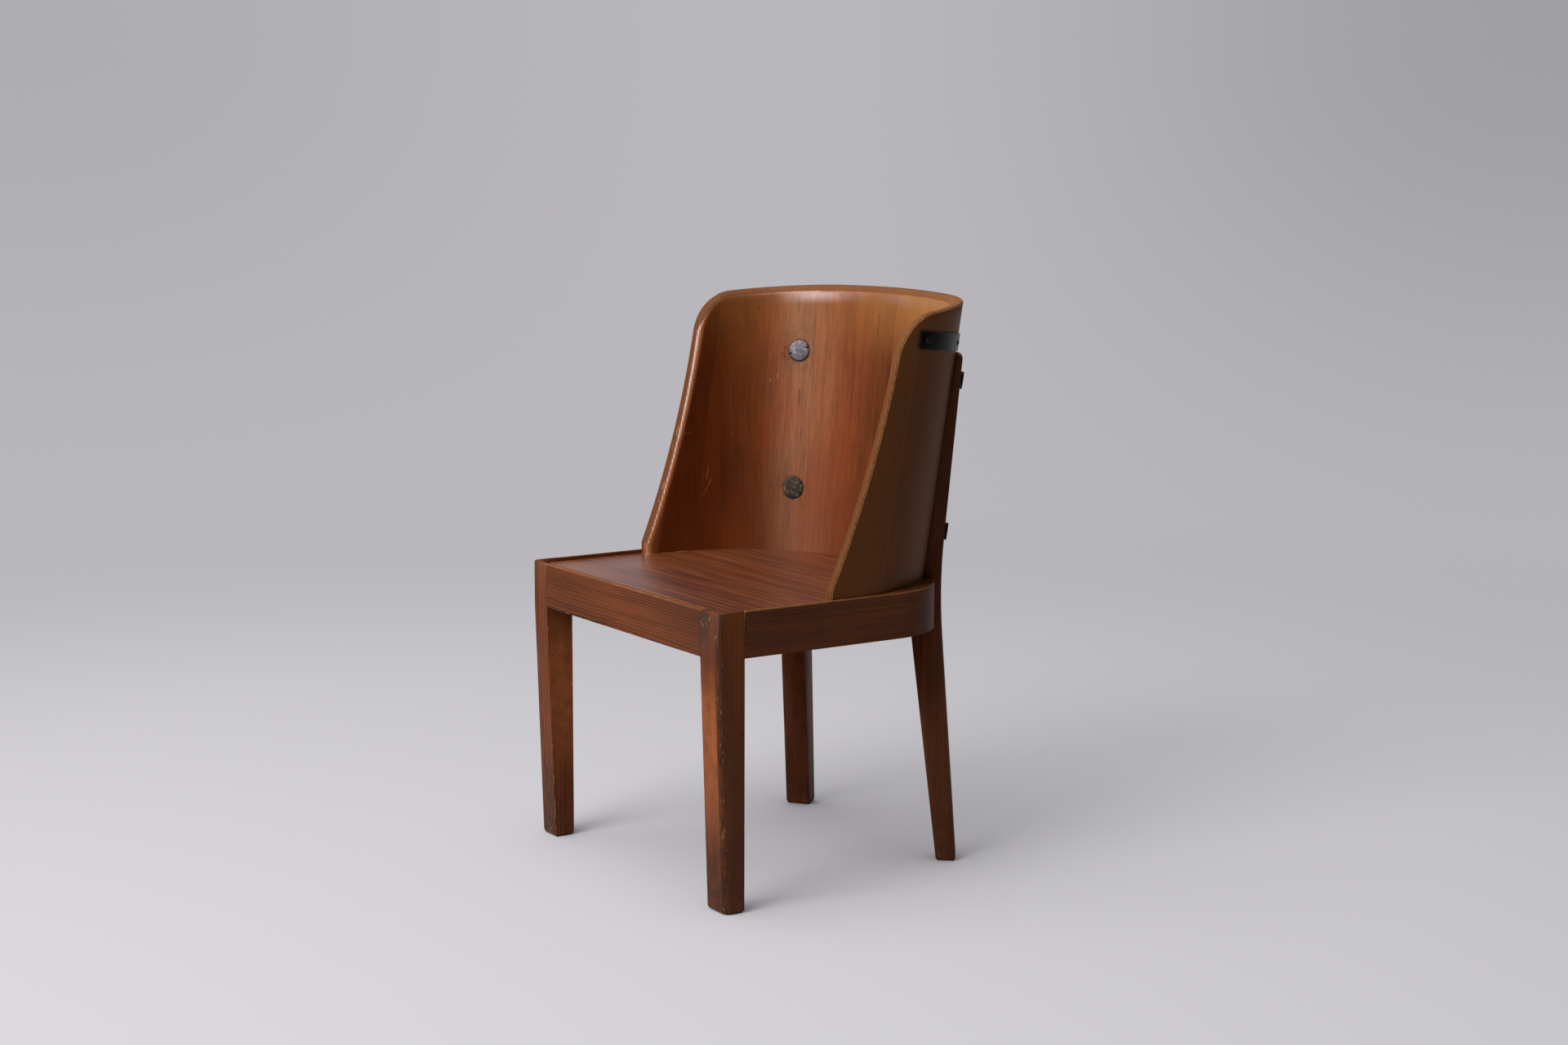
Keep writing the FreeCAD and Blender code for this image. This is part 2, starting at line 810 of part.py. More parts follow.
def all_pieces():
    """Every piece of the chair by its node's name."""
    bolts = {level: bolt_list(level) for level in ("upper", "lower")}
    places = bolts["upper"] + bolts["lower"]
    cutters = {1: [], -1: []}
    for side, height, turn in places:
        cutters[side].append(bolt_cutter(side, height))
    pieces = {}
    for side, word in ((-1, "left"), (1, "right")):
        pieces["front_leg_" + word] = front_leg(side)
        pieces["side_rail_" + word] = side_rail(side)
        pieces["rear_post_" + word] = rear_post(side, cutters[side])
    pieces["front_rail"] = front_rail()
    pieces["rear_rail"] = rear_rail()
    pieces["seat_board"] = seat_board()
    pieces.update(staves(cutters[-1] + cutters[1] + [nail_cutter()]))
    for level, listed in bolts.items():
        solids = [bolt(side, height, turn) for side, height, turn in listed]
        pieces["bolts_" + level] = Part.makeCompound(solids)
    pieces["bolt_nuts"] = Part.makeCompound([nut(side, height) for side, height, turn in places])
    pieces["back_strap"] = strap()
    pieces["strap_nails"] = Part.makeCompound([nail(place) for place in nail_places()])
    return pieces


def save_all():
    """Centre the chair on the origin and write one file per piece."""
    pieces = all_pieces()
    box = Part.makeCompound(list(pieces.values())).optimalBoundingBox()
    shift = V(0, -(box.YMin + box.YMax) / 2, 0)
    print("size", round(box.XLength, 1), round(box.YLength, 1), round(box.ZLength, 1))
    print("moved along Y by", round(shift.y, 2))
    for name, shape in pieces.items():
        shape.translate(shift)
        shape.exportStep("parts/" + name + ".step")
        print(name, len(shape.Solids), round(shape.Volume), shape.isValid())


save_all()
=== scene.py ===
# %% [markdown]
# # A barrel-back side chair of stained pine
# The chair is a low frame of legs and rails, a seat board let into it, and a
# leaning barrel of upright staves that two rear posts and an iron strap hold
# together. Its solid pieces come ready from the CAD model. This lesson gives
# them their wood, wears the feet round, makes the ironwork again with Geometry
# Nodes, and sets up the light and the camera.

# %% Load the packed chair
import bmesh
import bpy
import json
import math
from mathutils import Matrix, Vector
from mathutils.bvhtree import BVHTree
from types import SimpleNamespace

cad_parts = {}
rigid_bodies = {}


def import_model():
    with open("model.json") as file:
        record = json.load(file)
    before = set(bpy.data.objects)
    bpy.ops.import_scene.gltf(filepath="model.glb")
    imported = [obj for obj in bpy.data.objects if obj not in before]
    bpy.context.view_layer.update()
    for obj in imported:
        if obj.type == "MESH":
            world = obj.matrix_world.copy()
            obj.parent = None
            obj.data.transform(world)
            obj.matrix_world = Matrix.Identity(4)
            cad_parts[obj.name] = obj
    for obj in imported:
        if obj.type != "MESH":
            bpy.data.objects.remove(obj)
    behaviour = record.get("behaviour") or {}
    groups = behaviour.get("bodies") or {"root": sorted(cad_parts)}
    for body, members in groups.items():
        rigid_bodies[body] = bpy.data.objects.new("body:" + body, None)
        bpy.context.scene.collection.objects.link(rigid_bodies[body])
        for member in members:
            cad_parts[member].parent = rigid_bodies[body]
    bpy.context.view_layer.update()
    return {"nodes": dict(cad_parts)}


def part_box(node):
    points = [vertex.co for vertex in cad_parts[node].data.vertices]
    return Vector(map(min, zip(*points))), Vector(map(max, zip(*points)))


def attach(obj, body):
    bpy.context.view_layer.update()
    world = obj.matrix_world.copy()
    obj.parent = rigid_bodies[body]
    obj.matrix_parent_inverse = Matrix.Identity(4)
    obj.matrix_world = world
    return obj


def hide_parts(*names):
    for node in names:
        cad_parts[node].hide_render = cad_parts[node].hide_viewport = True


for leftover in list(bpy.data.objects):
    bpy.data.objects.remove(leftover)
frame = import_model()
chair = frame["nodes"]
front_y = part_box("front_leg_right")[0].y
print("pieces", len(chair), "front of the frame at y =", round(front_y, 4))

# %% [markdown]
# Node trees are built in this file by formulas. They could be wired one node
# after the other, but then a rule of ten steps fills a page. A Field is a value
# that flows through a tree: adding or multiplying two of them puts the Math node
# there. So a rule can be read here as it would be written in a workshop
# notebook. The tree that is being built lies on the bench, and each new node
# goes into that tree.

# %% Formulas that become nodes
MM = 0.001
bench = SimpleNamespace(tree=None)


def feed(value, socket):
    """Link a field or a node's first output to a socket, or set a plain value."""
    if isinstance(value, Field):
        bench.tree.links.new(value.socket, socket)
    elif isinstance(value, bpy.types.Node):
        bench.tree.links.new(value.outputs[0], socket)
    else:
        socket.default_value = value


class Field:
    """A value in a node tree, with the usual sums."""

    def __init__(self, socket):
        self.socket = socket

    def math(self, operation, *others):
        """A Math node on this value and the others."""
        return flow("ShaderNodeMath", dict(enumerate((self,) + others)), operation=operation)

    def __add__(self, other):
        return self.math("ADD", other)

    def __sub__(self, other):
        return self.math("SUBTRACT", other)

    def __mul__(self, other):
        return self.math("MULTIPLY", other)

    def __truediv__(self, other):
        return self.math("DIVIDE", other)

    def less_from(self, other):
        """The other value minus this one."""
        return self * -1 + other

    def clamped(self):
        """The value, cut to the range from 0 to 1."""
        return self.math("MAXIMUM", 0.0).math("MINIMUM", 1.0)


def node(kind, values=None, **settings):
    """Add a node with its settings and the values of its inputs."""
    made = bench.tree.nodes.new(kind)
    for name, value in settings.items():
        setattr(made, name, value)
    for name, value in (values or {}).items():
        feed(value, made.inputs[name])
    return made


def field(made, output=0):
    """One output of a node as a field."""
    return Field(made.outputs[output])


def flow(kind, values=None, output=0, **settings):
    """Add a node and take one of its outputs as a field."""
    return field(node(kind, values, **settings), output)


print("a field can do", [name for name in vars(Field) if not name.startswith("__")])

# %% [markdown]
# A few formulas come back in every tree: an easy change between two values, a
# noise, sums of vectors, and tints that are laid over each other like thin coats
# of stain.

# %% Formulas that come back


def ramp(value, low, high, smooth=True):
    """0 below low, 1 above high, and an easy change between."""
    kind = "SMOOTHSTEP" if smooth else "LINEAR"
    values = {"Value": value, "From Min": low, "From Max": high}
    return flow("ShaderNodeMapRange", values, interpolation_type=kind)


def fade(value, low, high):
    """1 below low, 0 above high, and an easy change between."""
    return ramp(value, low, high).less_from(1.0)


def noise(place, scale, detail=2.0, roughness=0.5):
    """Cloudy values from 0 to 1, as many lumps per metre as scale says."""
    values = {"Vector": place, "Scale": scale, "Detail": detail, "Roughness": roughness}
    return flow("ShaderNodeTexNoise", values, "Fac")


def vectors(operation, *given, output=0):
    """A Vector Math node on the given vectors."""
    return flow("ShaderNodeVectorMath", dict(enumerate(given)), output, operation=operation)


def dot(first, second):
    """Dot product of two vectors."""
    return vectors("DOT_PRODUCT", first, second, output="Value")


def scaled(vector, factor):
    """A vector times a number."""
    return flow("ShaderNodeVectorMath", {0: vector, "Scale": factor}, operation="SCALE")


def stretched(place, share):
    """The same place with its Z scaled, which draws a pattern out along Z."""
    return vectors("MULTIPLY", place, (1, 1, share))


def xyz(vector):
    """The three parts of a vector."""
    parts = node("ShaderNodeSeparateXYZ", {"Vector": vector})
    return [field(parts, axis) for axis in "XYZ"]


def blend(share, first, second, kind="RGBA", mode="MIX"):
    """Colour, or place, between two others by a share."""
    start = {"VECTOR": 4, "RGBA": 6}[kind]
    values = {0: share, start: first, start + 1: second}
    return flow("ShaderNodeMix", values, start // 2 - 1, data_type=kind, blend_type=mode)


def layered(color, *layers):
    """Lay tints over a colour, each by its own share, the lowest first."""
    for share, tint in layers:
        color = blend(share, color, tint)
    return color


def srgb(red, green, blue):
    """A colour as the screen numbers 0 to 255 name it, made linear for Blender."""
    parts = [part / 255 for part in (red, green, blue)]
    parts = [part / 12.92 if part < 0.04 else ((part + 0.055) / 1.055) ** 2.4 for part in parts]
    return (parts[0], parts[1], parts[2], 1.0)


print("a mid brown is", [round(part, 3) for part in srgb(120, 70, 40)])

# %% [markdown]
# Node groups, materials and objects are made the same way each time, so each of
# them has a helper. A new group or material also goes onto the bench.

# %% Helpers for groups, materials and objects


def new_group(name, tree_kind, inputs, outputs):
    """A node group with named sockets, and its inputs as fields."""
    bench.tree = tree = bpy.data.node_groups.new(name, tree_kind)
    for way, listed in (("INPUT", inputs), ("OUTPUT", outputs)):
        for kind, names in listed:
            for socket_name in names.split(", "):
                tree.interface.new_socket(socket_name, in_out=way, socket_type="NodeSocket" + kind)
    given = node("NodeGroupInput")
    return tree, {name: field(given, name) for name in given.outputs.keys() if name}


def empty_tree(owner):
    """Put the node tree of a material or a world on the bench, emptied."""
    owner.use_nodes = True
    bench.tree = owner.node_tree
    bench.tree.nodes.clear()


def new_material(name):
    """An empty material, with its tree on the bench."""
    made = bpy.data.materials.new(name)
    empty_tree(made)
    return made


def add_object(name, data):
    """Put a mesh, a lamp or a camera into the scene."""
    made = bpy.data.objects.new(name, data)
    bpy.context.scene.collection.objects.link(made)
    return made


# %% [markdown]
# Pine is a stack of growth rings round the heart of the tree. Each ring is pale
# and soft at first and ends in a hard dark line. A board is cut out of that
# stack, so the same rings give straight lines where the board is cut across
# them and arches where it is cut along them. The wood here is such a solid
# block: rings round a heart line beside the board, in the board's own place. A
# picture of wood could be laid on the faces instead, but it would break at every
# edge, where real grain runs on into the end of the board.

# %% Growth rings in a block of wood
pine, given = new_group(
    "stained_pine", "ShaderNodeTree",
    (
        ("Vector", "Place"), ("Float", "Heart Across, Heart Deep, Ring Width, Ring Strength, Curl"),
        ("Color", "Pale, Dark"), ("Float", "Stain Clouds"),
    ),
    (("Color", "Color"), ("Float", "Ring, Fibre")),
)
wander_width = 12 * MM
ripple_width = 2 * MM
curl_width = 3 * MM
taper = 0.012


def grain(share, scale, detail, roughness=0.5):
    """A noise drawn out along the board."""
    return noise(stretched(given["Place"], share), scale, detail, roughness)


across, deep, along = xyz(given["Place"])
wander = (grain(0.16, 7.0, 2.0) - 0.5) * wander_width
ripple = (grain(0.07, 60.0, 2.0) - 0.5) * ripple_width
curl = (grain(0.7, 55.0, 2.0) - 0.5) * given["Curl"] * curl_width
side = across - given["Heart Across"] + wander
depth = deep - given["Heart Deep"] + wander
radius = (side * side + depth * depth).math("SQRT") + along * taper + ripple + curl
turns = radius / given["Ring Width"]
ring_share = turns.math("FRACT")
late = ramp(ring_share, 0.45, 0.82) * fade(ring_share, 0.88, 0.98)
ring_seed = flow("ShaderNodeTexWhiteNoise", {"W": turns.math("FLOOR")}, "Value", noise_dimensions="1D")
late = late * (ring_seed * 0.55 + 0.45)
print("inputs of the wood group", len(given))

# %% [markdown]
# Between the rings the eye sees fibres: fine streaks along the grain. The stain
# lies unevenly over both, in long soft clouds. All of them are one kind of noise,
# drawn out more or less along the board.

# %% Fibres and stain over the rings
fibre = grain(0.018, 950.0, 3.0, 0.62)
hair = grain(0.010, 300.0, 3.0, 0.6)
clouds = grain(0.35, 16.0, 4.0, 0.6)
bands = grain(0.045, 75.0, 3.0, 0.6)
line = late * given["Ring Strength"] + (fibre - 0.5) * 0.6 + (hair - 0.5) * 0.7 + (bands - 0.5) * 0.9
tint = blend((line + 0.12).clamped(), given["Pale"], given["Dark"])
light_share = ramp(clouds, 0.25, 0.75, False)
brightness = given["Stain Clouds"].less_from(1.0) + light_share * given["Stain Clouds"] * 2
shade = node("ShaderNodeCombineColor", {"Red": brightness, "Green": brightness, "Blue": brightness})
tint = blend(1.0, tint, shade, mode="MULTIPLY")
node("NodeGroupOutput", {"Color": tint, "Ring": late, "Fibre": fibre})
print("nodes in the wood group", len(pine.nodes))

# %% [markdown]
# Every board gets its own cut of that block. A Mapping node of the Texture kind
# takes the chair's coordinates into the board's: it stands at a point of the
# board and its Z lies along the grain. Hands, cloths and feet have rubbed the
# stain off the corners, so a Bevel node finds them and lets the golden wood show.
# One material for all boards would be shorter, but the grain would then run
# through every joint as if the chair were one lump of wood.

# %% A board's own material
lump_height = 0.3 * MM


def coordinates(kind="Object"):
    """A point's coordinates."""
    return flow("ShaderNodeTexCoord", None, kind)


def chair_place():
    """X, Y and Z of the chair, Y measured from the frame's front, and the whole place."""
    spot = coordinates()
    x, y, z = xyz(spot)
    return x, y - front_y, z, spot


def face_normal():
    """Direction in which the surface faces."""
    return flow("ShaderNodeNewGeometry", None, "Normal")


def softened(width):
    """The same direction, rounded over near a corner."""
    return flow("ShaderNodeBevel", {"Radius": width}, samples=6)


def corner_share(soft):
    """0 on flat wood, rising to 1 on the corners, where soft leaves the true facing."""
    return ramp(dot(soft, face_normal()).less_from(1.0), 0.01, 0.22)


def board(name, origin, turn, heart, ring, strength, colors, clouds, finish, curl=0.0, specular=0.12):
    """Material of one board: its wood, and what a finish function adds."""
    made = new_material(name)
    values = {"Vector": coordinates(), "Location": origin, "Rotation": turn}
    place = flow("ShaderNodeMapping", values, vector_type="TEXTURE")
    pale, dark = colors
    if callable(pale):
        pale = pale()
    wood = node("ShaderNodeGroup", {
        "Place": place, "Heart Across": heart[0], "Heart Deep": heart[1], "Ring Width": ring,
        "Ring Strength": strength, "Curl": curl, "Pale": pale, "Dark": dark, "Stain Clouds": clouds,
    }, node_tree=pine)
    color, late, fibre = [field(wood, key) for key in ("Color", "Ring", "Fibre")]
    color, rough, height, gloss = finish(place, color, late, fibre)
    lumps = node("ShaderNodeBump", {"Height": height, "Strength": 0.4, "Distance": lump_height})
    skin = node("ShaderNodeBsdfPrincipled", {
        "Base Color": color, "Roughness": rough, "Normal": lumps, "IOR": 1.45, "Specular IOR Level": specular,
        "Coat Weight": gloss, "Coat Normal": lumps, "Coat IOR": 1.8, "Coat Roughness": 0.22,
    })
    node("ShaderNodeOutputMaterial", {"Surface": skin})
    return made


def dress(piece, material):
    """Give a piece of the CAD model its material."""
    piece.material_slots[0].link = "OBJECT"
    piece.material_slots[0].material = material


print("each board sets", len(given), "inputs of the wood group")

# %% [markdown]
# Years of use leave marks that no noise can place: a scratch here, a bruise
# there. They could be painted on a picture. Here each is a short line between
# two points of the chair, and a point of the surface is marked by how near it is
# to that line, which needs no picture and stays sharp from close by.

# %% Marks of use


def mark(spot, start, end, width):
    """1 on a short line between two points of the chair, in millimetres."""
    start, end = Vector(start) * MM, Vector(end) * MM
    line = end - start
    away = vectors("SUBTRACT", spot, start)
    share = (dot(away, line) / max(line.length_squared, 1e-9)).clamped()
    gap = vectors("DISTANCE", away, scaled(line, share), output="Value")
    broken = ramp(noise(spot, 420.0, 2.0), 0.36, 0.56)
    return fade(gap, width * MM * 0.3, width * MM) * broken


print("a mark is drawn by its distance from a line")

# %% [markdown]
# The frame's finish is laid on in the order in which it came about: stain and
# sun first, then the dirt of hands and feet, then bare corners and knocks. Two
# faces that got the most light are bleached, but the bleach fades out just under
# the rails, which leaves a painted shade there. The outward sides are also
# painted darker, as painted shade.

# %% Finish of the frame
grain_along_x = (0.0, math.radians(90), 0.0)
grain_along_y = (math.radians(-90), 0.0, 0.0)
grain_along_z = (0.0, 0.0, 0.0)
gold = srgb(220, 164, 100)
pale_wear = srgb(228, 196, 150)
soot = srgb(28, 14, 8)
hand_dirt = srgb(54, 33, 22)
floor_dirt = srgb(44, 28, 19)
legs_from = 0.2
rail_low = 0.352
frame_top = 0.42
frame_marks = (
    ((-243, -242, 112), (-236, -242, 96), 5.0), ((-238, -242, 104), (-230, -242, 101), 3.0),
    ((-257, -242, 250), (-254, -242, 228), 3.0), ((222, -242, 330), (222, -242, 316), 3.0),
    ((223, -242, 262), (222, -242, 255), 3.5), ((224, -242, 176), (223, -242, 160), 3.0),
)


def frame_finish(place, color, late, fibre):
    """Rubbed corners, painted shade on the outward sides, knocks and a little dirt on the frame."""
    x, y, z, spot = chair_place()
    face_x, face_y = xyz(face_normal())[:2]
    patch = noise(spot, 48.0, 4.0, 0.65)
    fine = noise(stretched(place, 0.2), 520.0, 3.0, 0.6)
    front = ramp(face_y * -1, 0.6, 0.9)
    rounded = ramp((face_x * face_y).math("ABSOLUTE"), 0.05, 0.25) * fade(y, 0.015, 0.02)
    flat = rounded.less_from(1.0)

    right_leg, left_leg = [ramp(x * way, legs_from, legs_from + 10 * MM) for way in (1, -1)]
    lit_faces = front * right_leg + ramp(face_x, 0.6, 0.9) * left_leg
    # The bleach fades out just under the rails, which leaves a painted shade below them.
    bleach_and_rail_shade = lit_faces * flat * ramp(z, 0.06, 0.22) * fade(z, 0.27, rail_low)
    rail_end = front * ramp(x, 0.0, 0.2) * ramp(z, 0.33, 0.36)
    handled = (rounded + corner_share(softened(8 * MM)) * 0.7).clamped()
    handled = handled * (ramp(patch, 0.15, 0.65) * 0.5 + 0.5)
    leg_top = rounded * ramp(z, 0.33, frame_top)
    foot = fade(z, 0.02, 0.15) * ramp(patch, 0.36, 0.6)

    worn = corner_share(softened(2.6 * MM))
    lying = ramp(xyz(softened(2 * MM))[2].math("ABSOLUTE"), 0.12, 0.3)
    at_joint = ramp(z, rail_low, rail_low + 4 * MM) * lying.less_from(1.0)
    top = ramp(z, frame_top - 15 * MM, frame_top - 4 * MM) * flat
    bare = ramp(patch, 0.52, 0.62) * 0.7 + top * (ramp(fine, 0.4, 0.55) * 0.5 + 0.45)
    bare = worn * bare.clamped() * at_joint.less_from(1.0)
    sole = fade(z, 5 * MM, 30 * MM)
    flecks = (rounded * 0.7 + sole * 0.6).clamped() * ramp(fine, 0.56, 0.68) * ramp(patch, 0.4, 0.6)
    knock = ramp(noise(spot, 130.0, 2.0, 0.5) + handled * 0.04, 0.69, 0.76)
    color = layered(
        color,
        # Painted shade: the outward faces of the frame are painted darker.
        (ramp(x * face_x, 0.08, 0.2) * 0.38, srgb(62, 42, 27)),
        (bleach_and_rail_shade * (ramp(patch, 0.2, 0.8) * 0.4 + 0.22), srgb(180, 102, 54)),
        (rail_end * 0.35, hand_dirt),
        ((handled * 0.56 + leg_top * 0.25).clamped(), hand_dirt),
        (foot * (front * 0.3 + 0.3), floor_dirt),
        (front * fade(z, 0.05, 0.13) * 0.35, floor_dirt),
        (at_joint * worn * 0.6, soot),
        (bare, gold),
        (flecks * 0.4, pale_wear),
        (knock * 0.5, soot),
        *((mark(spot, *scar) * 0.6, soot) for scar in frame_marks),
    )
    rough = fibre * 0.16 + 0.36 + bare * 0.15
    uneven = noise(spot, 18.0, 2.0) * 3
    return color, rough, late * 0.35 + fibre * 0.5 + uneven - knock * 1.2, 0.0


print("marks on the frame", len(frame_marks))

# %% [markdown]
# Floors have worn the feet round. The CAD feet have a small bevel only, so the
# lower end of a leg is cut into thin slices, and a quarter round draws them in.
# A Bevel modifier could round the edges too, but it would work on the leg's upper
# edges as well, and those have to stay as they are.

# %% Worn feet
merge_gap = 0.01 * MM
foot_round = 5.5 * MM
foot_bevel = 2.0 * MM
slice_shares = (0.06, 0.16, 0.3, 0.5, 0.75, 1.0)
wood_crease = math.radians(30)
post_turns = {"rear_post_left": math.radians(38.35), "rear_post_right": math.radians(-38.35)}


def merged(name):
    """A copy of a CAD piece with its loose triangles joined."""
    work = bmesh.new()
    work.from_mesh(chair[name].data)
    bmesh.ops.remove_doubles(work, verts=work.verts, dist=merge_gap)
    return work


def worn_foot(name, turn, material):
    """A leg or post again with a rounded foot; its section is turned by turn."""
    work = merged(name)
    for share in slice_shares:
        parts = work.verts[:] + work.edges[:] + work.faces[:]
        bmesh.ops.bisect_plane(work, geom=parts, plane_co=(0, 0, share * foot_round), plane_no=(0, 0, 1))
    low = [vertex for vertex in work.verts if vertex.co.z < foot_round + merge_gap]
    cosine, sine = math.cos(turn), math.sin(turn)
    for axis in (Vector((cosine, sine, 0.0)), Vector((-sine, cosine, 0.0))):
        places = [vertex.co.dot(axis) for vertex in low]
        middle, half = (min(places) + max(places)) / 2, (max(places) - min(places)) / 2
        for vertex in low:
            up = min(max(vertex.co.z, 0.0), foot_round)
            drawn = foot_round - math.sqrt(foot_round**2 - (foot_round - up) ** 2)
            drawn = max(drawn - max(foot_bevel - up, 0.0), 0.0)
            vertex.co -= axis * ((vertex.co.dot(axis) - middle) * drawn / half)
    for face in work.faces:
        face.smooth = True
    mesh = bpy.data.meshes.new(name + "_worn")
    work.to_mesh(mesh)
    work.free()
    mesh.set_sharp_from_angle(angle=wood_crease)
    mesh.materials.append(material)
    piece = add_object(name + "_worn", mesh)
    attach(piece, "root")
    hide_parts(name)
    print(piece.name, "faces", len(mesh.polygons))


print("feet are rounded by", foot_round / MM, "mm")

# %% [markdown]
# The frame is redder and plainer than the back. Its rails are cut out of thick
# planks, so on the side rails the rings come out as long arches. A row of the
# table gives a board's own point, the way of its grain, the place of its heart
# line beside that point in millimetres, and the width of its rings.

# %% Wood of the frame
frame_pale = srgb(118, 60, 28)
frame_dark = srgb(44, 23, 12)
frame_boards = {
    "front_leg_left": ((-0.24, 0.31, 0.1), grain_along_z, (150, 90), 1.9),
    "front_leg_right": ((0.24, -0.17, 0.3), grain_along_z, (-120, 130), 1.8),
    "front_rail": ((0.1, 0.02, 0.39), grain_along_x, (90, -50), 1.9),
    "side_rail_left": ((-0.24, 0.1, 0.385), grain_along_y, (10, 62), 2.0),
    "side_rail_right": ((0.245, 0.02, 0.372), grain_along_y, (-4, -60), 2.0),
    "rear_rail": ((0.05, 0.23, 0.38), grain_along_x, (8, 70), 2.5),
    "rear_post_left": ((-0.2, 0.2, 0.2), grain_along_z, (110, 40), 1.8),
    "rear_post_right": ((0.2, 0.21, 0.3), grain_along_z, (-120, -110), 1.8),
}
for name, (origin, turn, heart, ring) in frame_boards.items():
    heart = [part * MM for part in heart]
    curl, strength = (1.7, 1.0) if "side" in name else (0.25, 0.85)
    colors = (frame_pale, frame_dark)
    material = board(
        name + "_pine", origin, turn, heart, ring * MM, strength, colors, 0.25, frame_finish, curl
    )
    if "rail" in name:
        dress(chair[name], material)
    else:
        worn_foot(name, post_turns.get(name, 0.0), material)
print("frame boards", len(frame_boards))

# %% [markdown]
# The seat board is one wide plank with its grain across the chair. Sitting has
# drawn pale and dark streaks along the grain. Its left front is painted paler, a
# painted sheen where the seat would reflect the bright room. The streaks are one
# noise that is drawn out very far along the grain, so none of them has to be
# placed by hand.

# %% Wood of the seat board


def seat_finish(place, color, late, fibre):
    """A rubbed seat: pale streaks along the grain, soft scuffs and a painted sheen at the left front."""
    x, y, z, spot = chair_place()
    streak = noise(stretched(place, 0.012), 380.0, 3.0, 0.55)
    rubbed = ramp(noise(spot, 9.0, 3.0, 0.5), 0.42, 0.7)
    # Painted sheen: a paler colour on the seat's left front stands in for a reflection of the bright room.
    painted_sheen = ramp(x * -1, 0.0, 0.24) * ramp(y, 0.0, 0.1).less_from(1.3).clamped()
    worn = corner_share(softened(2.5 * MM)) * ramp(noise(spot, 70.0, 4.0, 0.6), 0.36, 0.56)
    color = layered(
        color,
        (ramp(streak, 0.5, 0.6) * 0.42, srgb(138, 74, 38)),
        (fade(streak, 0.38, 0.48) * 0.48, soot),
        (rubbed * 0.15, srgb(130, 60, 26)),
        (painted_sheen * 0.35, srgb(150, 98, 60)),
        (worn * 0.7, gold),
    )
    rough = fibre * 0.12 + 0.34 - rubbed * 0.05 + ramp(streak, 0.45, 0.7) * 0.06
    uneven = noise(spot, 12.0, 2.0) * 2
    return color, rough, late * 0.25 + fibre * 0.45 + uneven, 0.12


seat_material = board(
    "seat_board_pine", (0.03, 0.0, 0.41), grain_along_x, (20 * MM, 160 * MM), 4.0 * MM, 0.5,
    (srgb(94, 43, 19), srgb(46, 20, 9)), 0.2, seat_finish, specular=0.6,
)
dress(chair["seat_board"], seat_material)
print("nodes in the seat's material", len(seat_material.node_tree.nodes))

# %% [markdown]
# Bolts through the back hold it to the rear posts, and nails hold the strap.
# The finish of the wood needs their places, because varnish cracks round a bolt,
# and so do the heads that are made later. The CAD solids are measured for them:
# the largest flat face of a bolt or a nail is square to its length. Their places
# could be typed in too, but then they would stay behind when the model changes.

# %% Where the bolts, nuts and nails are
barrel_y = 0.24
flat_within = 0.1 * MM


def solids(name):
    """Faces of each separate solid of a CAD piece, from a merged copy."""
    work = merged(name)
    seen, found = set(), []
    for start in work.verts:
        if start in seen:
            continue
        group = [start]
        seen.add(start)
        for vertex in group:
            for edge in vertex.link_edges:
                other = edge.other_vert(vertex)
                if other not in seen:
                    seen.add(other)
                    group.append(other)
        faces = {face for vertex in group for face in vertex.link_faces}
        found.append([(f.normal.copy(), f.calc_area(), [v.co.copy() for v in f.verts]) for f in faces])
    work.free()
    return found


def fastener(faces):
    """Inner end, outer end and outward direction of one bolt, nut or nail."""
    areas = {}
    for normal, area, corners in faces:
        key = tuple(round(abs(part), 2) for part in normal)
        areas.setdefault(key, [0.0, normal])[0] += area
    axis = max(areas.values(), key=lambda entry: entry[0])[1].normalized()
    points = [corner for normal, area, corners in faces for corner in corners]
    middle = sum(points, Vector()) / len(points)
    if axis.dot(middle - Vector((0.0, front_y + barrel_y, middle.z))) < 0:
        axis = -axis
    ends = []
    for way in (-1, 1):
        limit = max(way * point.dot(axis) for point in points) - flat_within
        ring = {tuple(round(part, 5) for part in point) for point in points if way * point.dot(axis) > limit}
        ends.append(sum((Vector(point) for point in ring), Vector()) / len(ring))
    return ends[0], ends[1], axis


fasteners = {}
for name in ("bolts_upper", "bolts_lower", "bolt_nuts", "strap_nails"):
    found = [fastener(faces) for faces in solids(name)]
    fasteners[name] = sorted(found, key=lambda entry: tuple(entry[0]))
    print(name, [[round(part / MM) for part in entry[0]] for entry in fasteners[name]])
bolt_places = {"left": [], "right": []}
head_depth = 2.2 * MM
for name in ("bolts_upper", "bolts_lower"):
    for inner, outer, axis in fasteners[name]:
        bolt_places["left" if inner.x < 0 else "right"].append(inner + axis * head_depth)

# %% [markdown]
# The back is coopered like a barrel: narrow boards with bevelled joints, planed
# to the curve inside and out. Each stave is a straight board, so its grain runs
# along its own line up the back and its colour differs a little from the next.
# The pale colour of the wood also changes slowly round the back, where light and
# stain have worked unevenly, so it comes from a list of tones by direction. That
# list also holds painted shade: its darkest tones, on the inside of the left wing
# and side, stand in for the shade on faces there that catch little of the lamp.

# %% Wood of the back
stave_angles = {"wing": 86, "side": 67.5, "post": 41, "rear": 19.3, "center": 5}
stave_cuts = {
    "wing": ((120, 60), 2.4, 0.6),
    "side": ((-150, -60), 2.3, 0.6),
    "post": ((190, 10), 2.1, 0.75),
    "rear": ((140, -50), 2.4, 0.65),
    "center": ((-120, 90), 2.6, 0.65),
}
stave_tone = {"wing": 0.0, "side": 0.12, "post": 0.0, "rear": 0.05, "center": 0.15}


